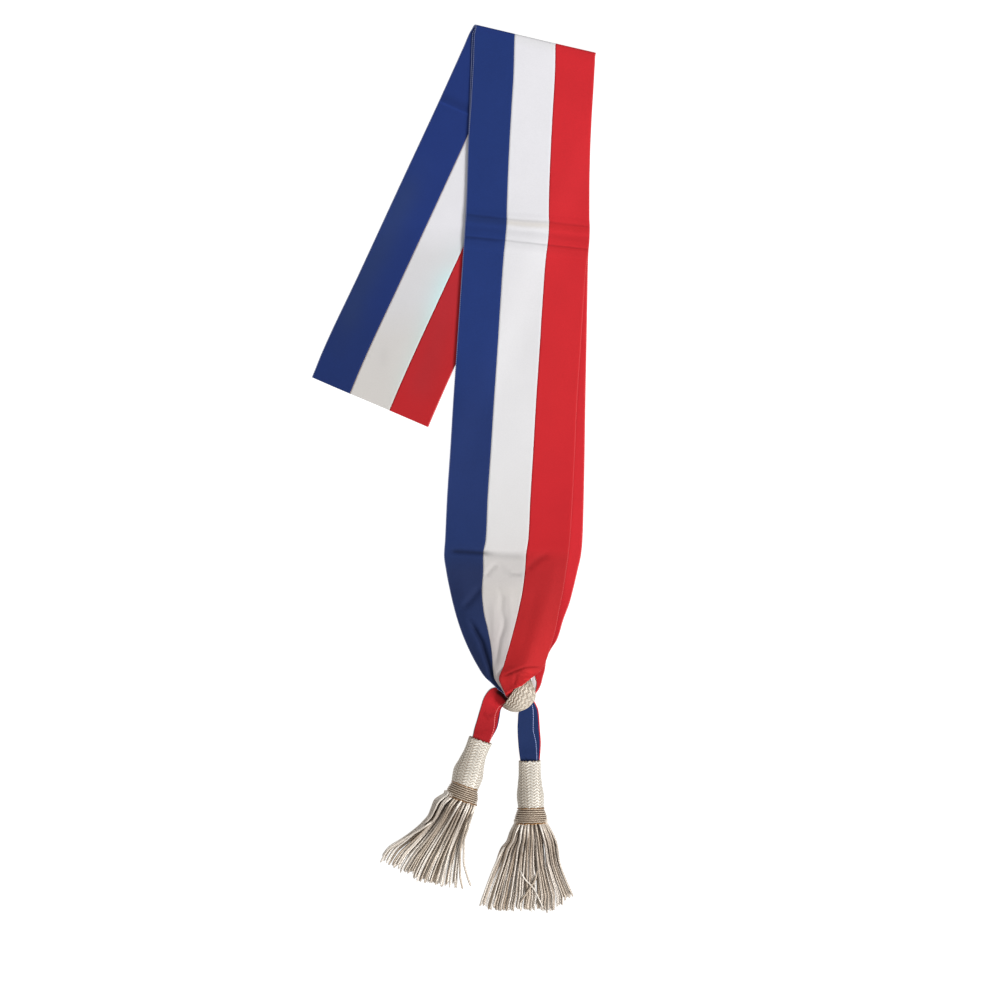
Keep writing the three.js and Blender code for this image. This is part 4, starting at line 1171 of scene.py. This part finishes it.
def sleeve(name, tassel):
    length = np.linalg.norm(tassel["foot"] - tassel["mouth"])

    def scallop(angle):
        phase = angle / (2 * np.pi) * SLEEVE_ARMS
        return SCALLOP_HEIGHT * (2 * np.abs(2 * (phase - np.floor(phase)) - 1) - 1)

    def relief_at(angle, v):
        return braid_relief(angle / (2 * np.pi) * SLEEVE_ARMS * BRAID_PERIOD / 2, v * length)

    def outer_at(angle, v):
        return sleeve_surface(tassel, angle, v, 0.0, scallop(angle))

    def inner_at(angle, v):
        return sleeve_surface(tassel, angle, v * SLEEVE_POCKET / length, SLEEVE_WALL, scallop(angle))

    def light_at(angle):
        return np.interp(np.cos(angle), SLEEVE_SIDES, SLEEVE_PAINTED_LIGHT)

    braided_tube(f"{name}_braided_sleeve", f"{name}_sleeve", SLEEVE_GRID, outer_at, inner_at, relief_at,
                 BRAID_HEIGHT, (tassel["mouth"] + tassel["foot"]) / 2, braid, light_at)


def tassel_frame(tassel):
    """The collar's end centres and the tassel's own level directions."""
    along = unit((tassel["foot"] - tassel["mouth"]) * np.array([1.0, 1.0, 0.0]))
    across = np.array([-along[1], along[0], 0.0])
    top = tassel["foot"] + along * COLLAR_SPACE
    foot = top + along * tassel["collar_length"] + across * tassel["collar_slide"]
    top[2], foot[2] = COLLAR_LEVELS
    return top, foot, along, across


def collar(name, tassel):
    top, foot, along, across = tassel_frame(tassel)

    def outer_at(angle, v, hole=None):
        half = hole or along_table(tassel["collar_half"], v)
        height = hole or along_table(COLLAR_HEIGHT, v)
        return oval(mix(top, foot, v[..., None]), across, half, height, angle)

    def relief_at(angle, v):
        return np.abs(np.sin(np.pi * (v * COLLAR_TURNS + angle / (2 * np.pi)))) ** COLLAR_CORD_ROUND

    braided_tube(f"{name}_wound_collar", f"{name}_collar", COLLAR_GRID, outer_at,
                 lambda a, v: outer_at(a, v, COLLAR_HOLE), relief_at, COLLAR_RELIEF, (top + foot) / 2, wound)


# Fringes: the outline of each in the view from above, the line of its strands' ends, and how
# much of the strands' painted light the ends keep.
FRINGES = {
    "left": {
        "left_edge": [(444.7, 792), (432.9, 800.5), (428.6, 812.5), (421.1, 821.8), (401.8, 838),
                      (388.4, 848), (380.8, 860)],
        "right_edge": [(476.5, 804), (476, 808), (469.5, 825), (465, 837), (461, 850), (457.5, 870),
                       (456.5, 888)],
        "ends": [(381, 860), (389, 867), (400.5, 874), (411.8, 878), (418, 883), (435, 886.5),
                 (456, 890)],
        "end_painted_light": 1.0,
        "strays": [
            [(474, 806), (468.5, 826), (464, 842), (463.7, 860), (466.5, 873), (470.7, 885.5)],
            [(472, 808), (464.5, 830), (460.5, 850), (460, 873), (462.5, 888.5)],
            [(440, 815), (420, 829), (400.6, 840.6), (388.3, 849.4), (380.6, 862)],
        ],
    },
    "right": {
        "left_edge": [(514, 822), (508.5, 832), (505.8, 840.5), (500.5, 847), (495, 862), (488.4, 879),
                      (479, 906)],
        "right_edge": [(547.3, 821), (554.4, 834), (557.5, 845), (559, 860.5), (563.5, 874), (573, 895)],
        "ends": [(479, 907), (487.7, 911.5), (506.5, 912), (522.6, 912), (548, 914), (561, 907.5),
                 (567, 899.5), (573, 896)],
        "end_painted_light": 0.74,
        "strays": [
            [(517, 862), (524, 877), (533, 887), (543, 907)],
            [(507.5, 842), (502, 850), (496, 862), (489.2, 879), (480, 905.5)],
            [(538, 866), (535, 879), (528, 890), (520.5, 902)],
            [(556, 846), (560, 864), (566, 881), (573, 896)],
        ],
    },
}
OUTER_STRANDS = 30
INNER_STRANDS = 88
INNER_DEPTHS = (0.45, 0.90)
ANGLE_PLAY = 0.3
STRAND_RADIUS = 0.84
STRAND_GROWTH = (0.85, 1.08)
TAPER_START = 0.35
TIP_CLOSING = 0.55
LOOP_GROWTH = 1.4
LOOP_POINTS = 9
STRAND_SIDES = 8
STRAND_POINTS = 46
PILE_PLACES = [0.0, 4.0, 9.0, 15.0, 24.0, 38.0, 56.0, 76.0, 100.0]
PILE_HEIGHTS = [21.2, 22.8, 22.0, 19.6, 15.4, 10.8, 7.4, 5.2, 4.4]
STRAY_LIFT = 0.7
STRAY_START = 0.5
STRAY_CLIMB = 4
TWIST_PITCH = 2.2
# Painted light and shade along a strand from its start to its end, for strands on top, inside the pile, and
# loose: under 1 is painted shade, over 1 painted light.
OPEN_PLACES = [0.00, 0.09, 0.18, 0.30, 0.50, 0.75, 1.00]
OPEN = {
    "outer": [1.42, 1.30, 0.92, 0.80, 1.00, 1.26, 1.40],
    "inner": [0.55, 0.50, 0.56, 0.72, 1.04, 1.26, 1.38],
    "loose": [1.35] * len(OPEN_PLACES),
}
LOOP_SHARE = {"outer": 1.0, "inner": 0.0, "loose": 0.0}
TIP_SHARE = {"outer": 0.78, "inner": 0.78, "loose": 1.0}
END_SPREAD = 0.09
END_REACH = 0.99
END_EVENNESS = 0.75
OUTER_DEPTH = 0.95
FAN_OUT = 1.6
LOCKS = 30
LOCK_PULL = 0.35
BEND_FADE = 3.0
LOCK_REACH = 0.97
LOCK_PLAY = 0.02
END_PLAY = 1.8
LEVEL_PLAY = 0.16
LEVEL_CHANGE = 1.3
# Where a strand starts inside the collar, the height of its oval there, and where it leaves that.
NECK_START = -3.0
NECK_LEVEL = 11.9
NECK_RISE = 9.0
NECK_END = -2.0
NECK_FADE = 6.0
# How far a strand sways, in how many waves, and how soon.
SWAY = (0.1, 0.75)
SWAY_WAVES = (0.3, 0.8)
SWAY_GROWTH = 2.5
PILE_GAP = 0.05
FLOOR_GAP = 0.02


def own_places(line, foot, along, across):
    """Points of a line as distances along and across a tassel, from its collar's foot."""
    flat = np.array([spot(*p) for p in line]) - foot[:2]
    return flat @ along[:2], flat @ across[:2]


def along_line(line, share):
    """The place at a share of a line's length."""
    spots = np.array([spot(*p) for p in line])
    lengths = run_length(spots)
    return np.array([np.interp(share * lengths[-1], lengths, spots[:, c]) for c in (0, 1)])


def tube(build, path, radius, seed, clear):
    """Adds a round strand along a path; clear: the painted light and shade at each of its places."""
    tangent = unit(np.gradient(path, axis=0))
    side = unit(np.cross(tangent, UP))
    over = np.cross(side, tangent)
    angle = np.linspace(0, 2 * np.pi, STRAND_SIDES, endpoint=False)[None, :, None]
    outward = side[:, None] * np.cos(angle) + over[:, None] * np.sin(angle)
    points = path[:, None] + outward * radius[:, None, None]
    count = len(path) * STRAND_SIDES
    start, end = list(range(STRAND_SIDES)), list(range(count - STRAND_SIDES, count))
    uv = np.stack(np.broadcast_arrays(angle[..., 0] / (2 * np.pi), run_length(path)[:, None]), axis=-1)
    build.add(points, quads(len(path), STRAND_SIDES).tolist() + [start[::-1], end], uv,
              seed=np.full(count, seed), open=np.repeat(clear, STRAND_SIDES))


def straight_and_bend(places, values, wanted):
    """An edge's straight line from end to end, and how far the edge stands from it."""
    wanted = np.clip(wanted, places[0], places[-1])
    line = np.interp(wanted, places[[0, -1]], values[[0, -1]])
    return line, monotone(places, values, wanted) - line


def strand_places(rng):
    """Each strand's angle and depth in the collar, and where across the pile its end is drawn to."""
    places = []
    for count, depths in ((OUTER_STRANDS, (OUTER_DEPTH, 1.0)), (INNER_STRANDS, INNER_DEPTHS)):
        for i in range(count):
            theta = 2 * np.pi * (i + rng.uniform(-ANGLE_PLAY, ANGLE_PLAY)) / count
            places.append((theta, rng.uniform(*depths)))
    theta, depth = np.array(places).T
    wanted = np.cos(theta) * depth + rng.normal(0.0, END_SPREAD, len(places))
    rank = np.argsort(np.argsort(wanted))
    even = END_REACH * (2 * (rank + 0.5) / len(places) - 1)
    return zip(theta, depth, mix(wanted, even, END_EVENNESS))


def strand_path(fringe, frame_of, rng, theta, depth, end_q, locks):
    """One strand from inside the collar, over its swell, down to its end on the pile."""
    foot, along, across = frame_of
    lock = np.argmin(np.abs(locks[:, 0] - end_q))
    end_q = mix(end_q, locks[lock, 0], LOCK_PULL)
    end_q = math.copysign(min(abs(end_q), 2 * END_REACH - abs(end_q)), end_q)
    end = along_line(fringe["ends"], (end_q + 1) / 2) - foot[:2]
    end_a = end @ along[:2] - (abs(rng.normal(0.0, END_PLAY)) + locks[lock, 1])
    start_level = (1 + math.sin(theta) * depth) / 2
    end_level = float(np.clip(start_level + rng.normal(0.0, LEVEL_PLAY), 0.0, 1.0))
    s = np.linspace(0.0, 1.0, STRAND_POINTS)
    a = mix(NECK_START, end_a, s)
    share = (mix(math.cos(theta) * depth, end_q, 1 - (1 - s) ** FAN_OUT) + 1) / 2
    reach = np.clip(a, 0.0, None)
    low_line, low_bend = straight_and_bend(*own_places(fringe["left_edge"], *frame_of), reach)
    high_line, high_bend = straight_and_bend(*own_places(fringe["right_edge"], *frame_of), reach)
    c = mix(low_line + STRAND_RADIUS, high_line - STRAND_RADIUS, share)
    c = c + low_bend * (1 - share) ** BEND_FADE + high_bend * share ** BEND_FADE
    c = c + (end @ across[:2] - c[-1]) * smooth(s)
    sway = rng.uniform(*SWAY)
    waves = rng.uniform(*SWAY_WAVES) * s + rng.uniform()
    c = c + sway * np.sin(2 * np.pi * waves) * smooth(s * SWAY_GROWTH)
    level = mix(start_level, end_level, smooth(s * LEVEL_CHANGE))
    pile = monotone(PILE_PLACES, PILE_HEIGHTS, reach)
    z = STRAND_RADIUS + PILE_GAP + level * (pile - 2 * STRAND_RADIUS)
    z = mix(NECK_LEVEL + NECK_RISE * math.sin(theta) * depth, z, smooth((a - NECK_END) / NECK_FADE))
    z = np.maximum(z, STRAND_RADIUS + FLOOR_GAP)
    flat = foot[:2] + a[:, None] * along[:2] + c[:, None] * across[:2]
    return np.concatenate([flat, z[:, None]], axis=1)


def stray_path(line, foot, along):
    """A strand that lies by itself on top, along a line in the view from above."""
    spots = np.array([spot(*p) for p in line])
    places = run_length(spots)
    wanted = np.linspace(0.0, places[-1], STRAND_POINTS)
    flat = monotone(places, spots, wanted)
    reach = np.clip((flat - foot[:2]) @ along[:2], 0.0, None)
    climb = mix(STRAY_START, 1.0, smooth(wanted / wanted[-1] * STRAY_CLIMB))
    z = monotone(PILE_PLACES, PILE_HEIGHTS, reach) * climb + STRAY_LIFT
    return np.concatenate([flat, z[:, None]], axis=1)


# Twisted wires: how many, and how much their ridges and the specks lighten them; the dark between the ridges
# is painted shade.
WIRES = 2.0
BULLION_BUMP = 0.00006
BULLION_SPECK_SCALE = 1600.0
RIDGE_WEIGHT = 0.25
BULLION_SPECK_WEIGHT = 0.3
BULLION_LEVEL = 0.45
BULLION_CLOUDS = {"scale": 90.0, "depth": 0.3}


def bullion_material(name, dull, bright, dark):
    """Twisted metal thread: slanting wires that glint, with painted shade between them, times the strand's
    painted light and shade.
    """
    g = Graph(bpy.data.materials.new(name))
    around, along = g.cloth_uv()
    turns = g.weighed((around, WIRES), (along, WIRES / TWIST_PITCH))
    ridge = g.math("ABSOLUTE", g.math("SINE", g.times(turns, math.pi)))
    place = g.place()
    speck = g.noise(place, BULLION_SPECK_SCALE, 2.0)
    share = g.plus(g.weighed((ridge, RIDGE_WEIGHT), (speck, BULLION_SPECK_WEIGHT)), BULLION_LEVEL)
    share = g.math("MULTIPLY", share, g.value("open"), clamp=True)
    pale = g.blend(g.value("seed"), linear(*dull), linear(*bright))
    tone = g.clouded(g.blend(share, linear(*dark), pale), place, **BULLION_CLOUDS)
    height = g.plus(ridge, g.times(speck, BULLION_SPECK_WEIGHT))
    return g.finish(tone, height, BULLION_BUMP, Roughness=0.42, Metallic=0.3, Specular_IOR_Level=0.7)


bullion = bullion_material("silver_bullion", (158, 142, 123), (212, 205, 196), (108, 84, 61))
gold = bullion_material("gold_thread", (128, 88, 44), (164, 116, 56), (70, 42, 18))


def fringe(name, tassel, seed):
    """All strands of a tassel: an outer and an inner set that start in the collar, and loose ones on top."""
    rng = np.random.default_rng(seed)
    frame_of = tassel_frame(tassel)[1:]
    shape = FRINGES[name]
    locks = np.stack([np.linspace(-LOCK_REACH, LOCK_REACH, LOCKS) + rng.normal(0.0, LOCK_PLAY, LOCKS),
                      np.abs(rng.normal(0.0, END_PLAY, LOCKS))], axis=-1)
    build = Build()
    paths = []
    for theta, depth, end_q in strand_places(rng):
        path = strand_path(shape, frame_of, rng, theta, depth, end_q, locks)
        paths.append((path, "outer" if depth >= OUTER_DEPTH else "inner"))
    paths.extend((stray_path(line, *frame_of[:2]), "loose") for line in shape["strays"])
    share = np.linspace(0, 1, STRAND_POINTS)
    for path, kind in paths:
        radius = np.full(STRAND_POINTS, STRAND_RADIUS * rng.uniform(*STRAND_GROWTH))
        radius[:LOOP_POINTS] *= mix(1.0, np.linspace(LOOP_GROWTH, 1.0, LOOP_POINTS), LOOP_SHARE[kind])
        radius *= mix(1.0, TIP_SHARE[kind], smooth((share - TAPER_START) / (1 - TAPER_START)))
        radius[-1] *= TIP_CLOSING
        clear = np.interp(share, OPEN_PLACES, OPEN[kind])
        clear *= mix(1.0, shape["end_painted_light"], smooth(2 * share))
        tube(build, path, radius, rng.uniform(), clear)
    build.piece(f"{name}_bullion_fringe", bullion, f"{name}_fringe")


BINDING_POINTS = 200
BINDING_RADIUS = 0.34
# Where the binding lies: the place in the collar's tables, and how far along the collar.
BINDING_ENDS = {0: 0.0, -1: 1.02}
BINDING_FIT = 0.985
# The binding's waves outward and along the tassel. Columns: height, count.
WIDE_WAVE = (0.022, 7)
FINE_WAVE = (0.016, 17)
LONG_WAVE = (0.25, 11)
WAVE_STARTS = (0, 6)


def binding(name, tassel, seed):
    """Brown and gold thread that shows at both ends of a wound collar."""
    rng = np.random.default_rng(seed)
    top, foot, along, across = tassel_frame(tassel)
    build = Build()
    angle = np.linspace(0, 2 * np.pi, BINDING_POINTS)

    def wave(height, count, start):
        return height * np.sin(angle * count + start)

    for end, v in BINDING_ENDS.items():
        ripple = BINDING_FIT + wave(*WIDE_WAVE, rng.uniform(*WAVE_STARTS)) + wave(*FINE_WAVE, 0.0)
        centre = mix(top, foot, v) + along * wave(*LONG_WAVE, rng.uniform(*WAVE_STARTS))[:, None]
        half, height = tassel["collar_half"][end] * ripple, COLLAR_HEIGHT[end] * ripple
        path = oval(centre, across, half, height, angle)
        tube(build, path, np.full(BINDING_POINTS, BINDING_RADIUS), rng.uniform(), np.ones(BINDING_POINTS))
    build.piece(f"{name}_binding_thread", gold, f"{name}_collar", replaces=False)


for name, seed in (("left", 5), ("right", 9)):
    sleeve(name, TASSELS[name])
    collar(name, TASSELS[name])
    fringe(name, TASSELS[name], seed)
    binding(name, TASSELS[name], seed)


# Floor and light, in metres.
FLOOR_HALF = 4.0
FLOOR_LEVEL = -0.0002
FLOOR_GLOW = 0.9
FLOOR_TONES = ((0.25, 0.25, 0.25, 1.0), (0.27, 0.27, 0.27, 1.0))
FLOOR_BUMP = 0.00001
PURE_WHITE = (1.0, 1.0, 1.0, 1.0)
LIGHT_TARGET = np.array([0.03, -0.03, 0.0])
SKY_LOW = 0.15
SKY_HIGH = 0.85
SKY_SIDE = 0.20
SKY_TOP = 0.75


def floor():
    mesh = bpy.data.meshes.new("floor")
    corners = [(x * FLOOR_HALF, y * FLOOR_HALF, 0) for x, y in ((-1, -1), (1, -1), (1, 1), (-1, 1))]
    mesh.from_pydata(corners, [], [(0, 1, 2, 3)])
    g = Graph(bpy.data.materials.new("floor"))
    cloud = g.noise(g.place(), 3.0, 2.0)
    mesh.materials.append(g.finish(g.blend(cloud, *FLOOR_TONES), cloud, FLOOR_BUMP, Roughness=0.9,
                                   Emission_Color=PURE_WHITE, Emission_Strength=FLOOR_GLOW))
    made = show("floor", mesh)
    made.location = (0, 0, FLOOR_LEVEL)


def area_light(name, place, size, power):
    data = bpy.data.lights.new(name, "AREA")
    data.shape = "DISK"
    data.size = size
    data.energy = power
    light = show(name, data)
    light.location = place
    x, y, z = LIGHT_TARGET - np.array(place)
    light.rotation_euler = (math.atan2(math.hypot(x, y), -z), 0.0, math.atan2(y, x) - math.pi / 2)


def studio_world():
    """Soft white light that is brighter overhead than at the sides."""
    g = Graph(bpy.data.worlds.new("studio"), "Background")
    direction = g.node("ShaderNodeTexCoord").outputs["Generated"]
    limits = {"From Min": SKY_LOW, "From Max": SKY_HIGH, "To Min": SKY_SIDE, "To Max": SKY_TOP}
    limits["Value"] = g.node("ShaderNodeSeparateXYZ", {0: direction}).outputs["Z"]
    strength = g.node("ShaderNodeMapRange", limits, interpolation_type="SMOOTHSTEP").outputs["Result"]
    g.set(g.shader, "Color", PURE_WHITE)
    g.set(g.shader, "Strength", strength)
    bpy.context.scene.world = g.owner


studio_world()
bpy.context.scene.view_settings.view_transform = "Standard"
floor()
area_light("key", (1.7, -1.2, 2.2), 1.2, 104.0)
area_light("fill", (-1.8, 1.0, 2.4), 2.2, 4.0)
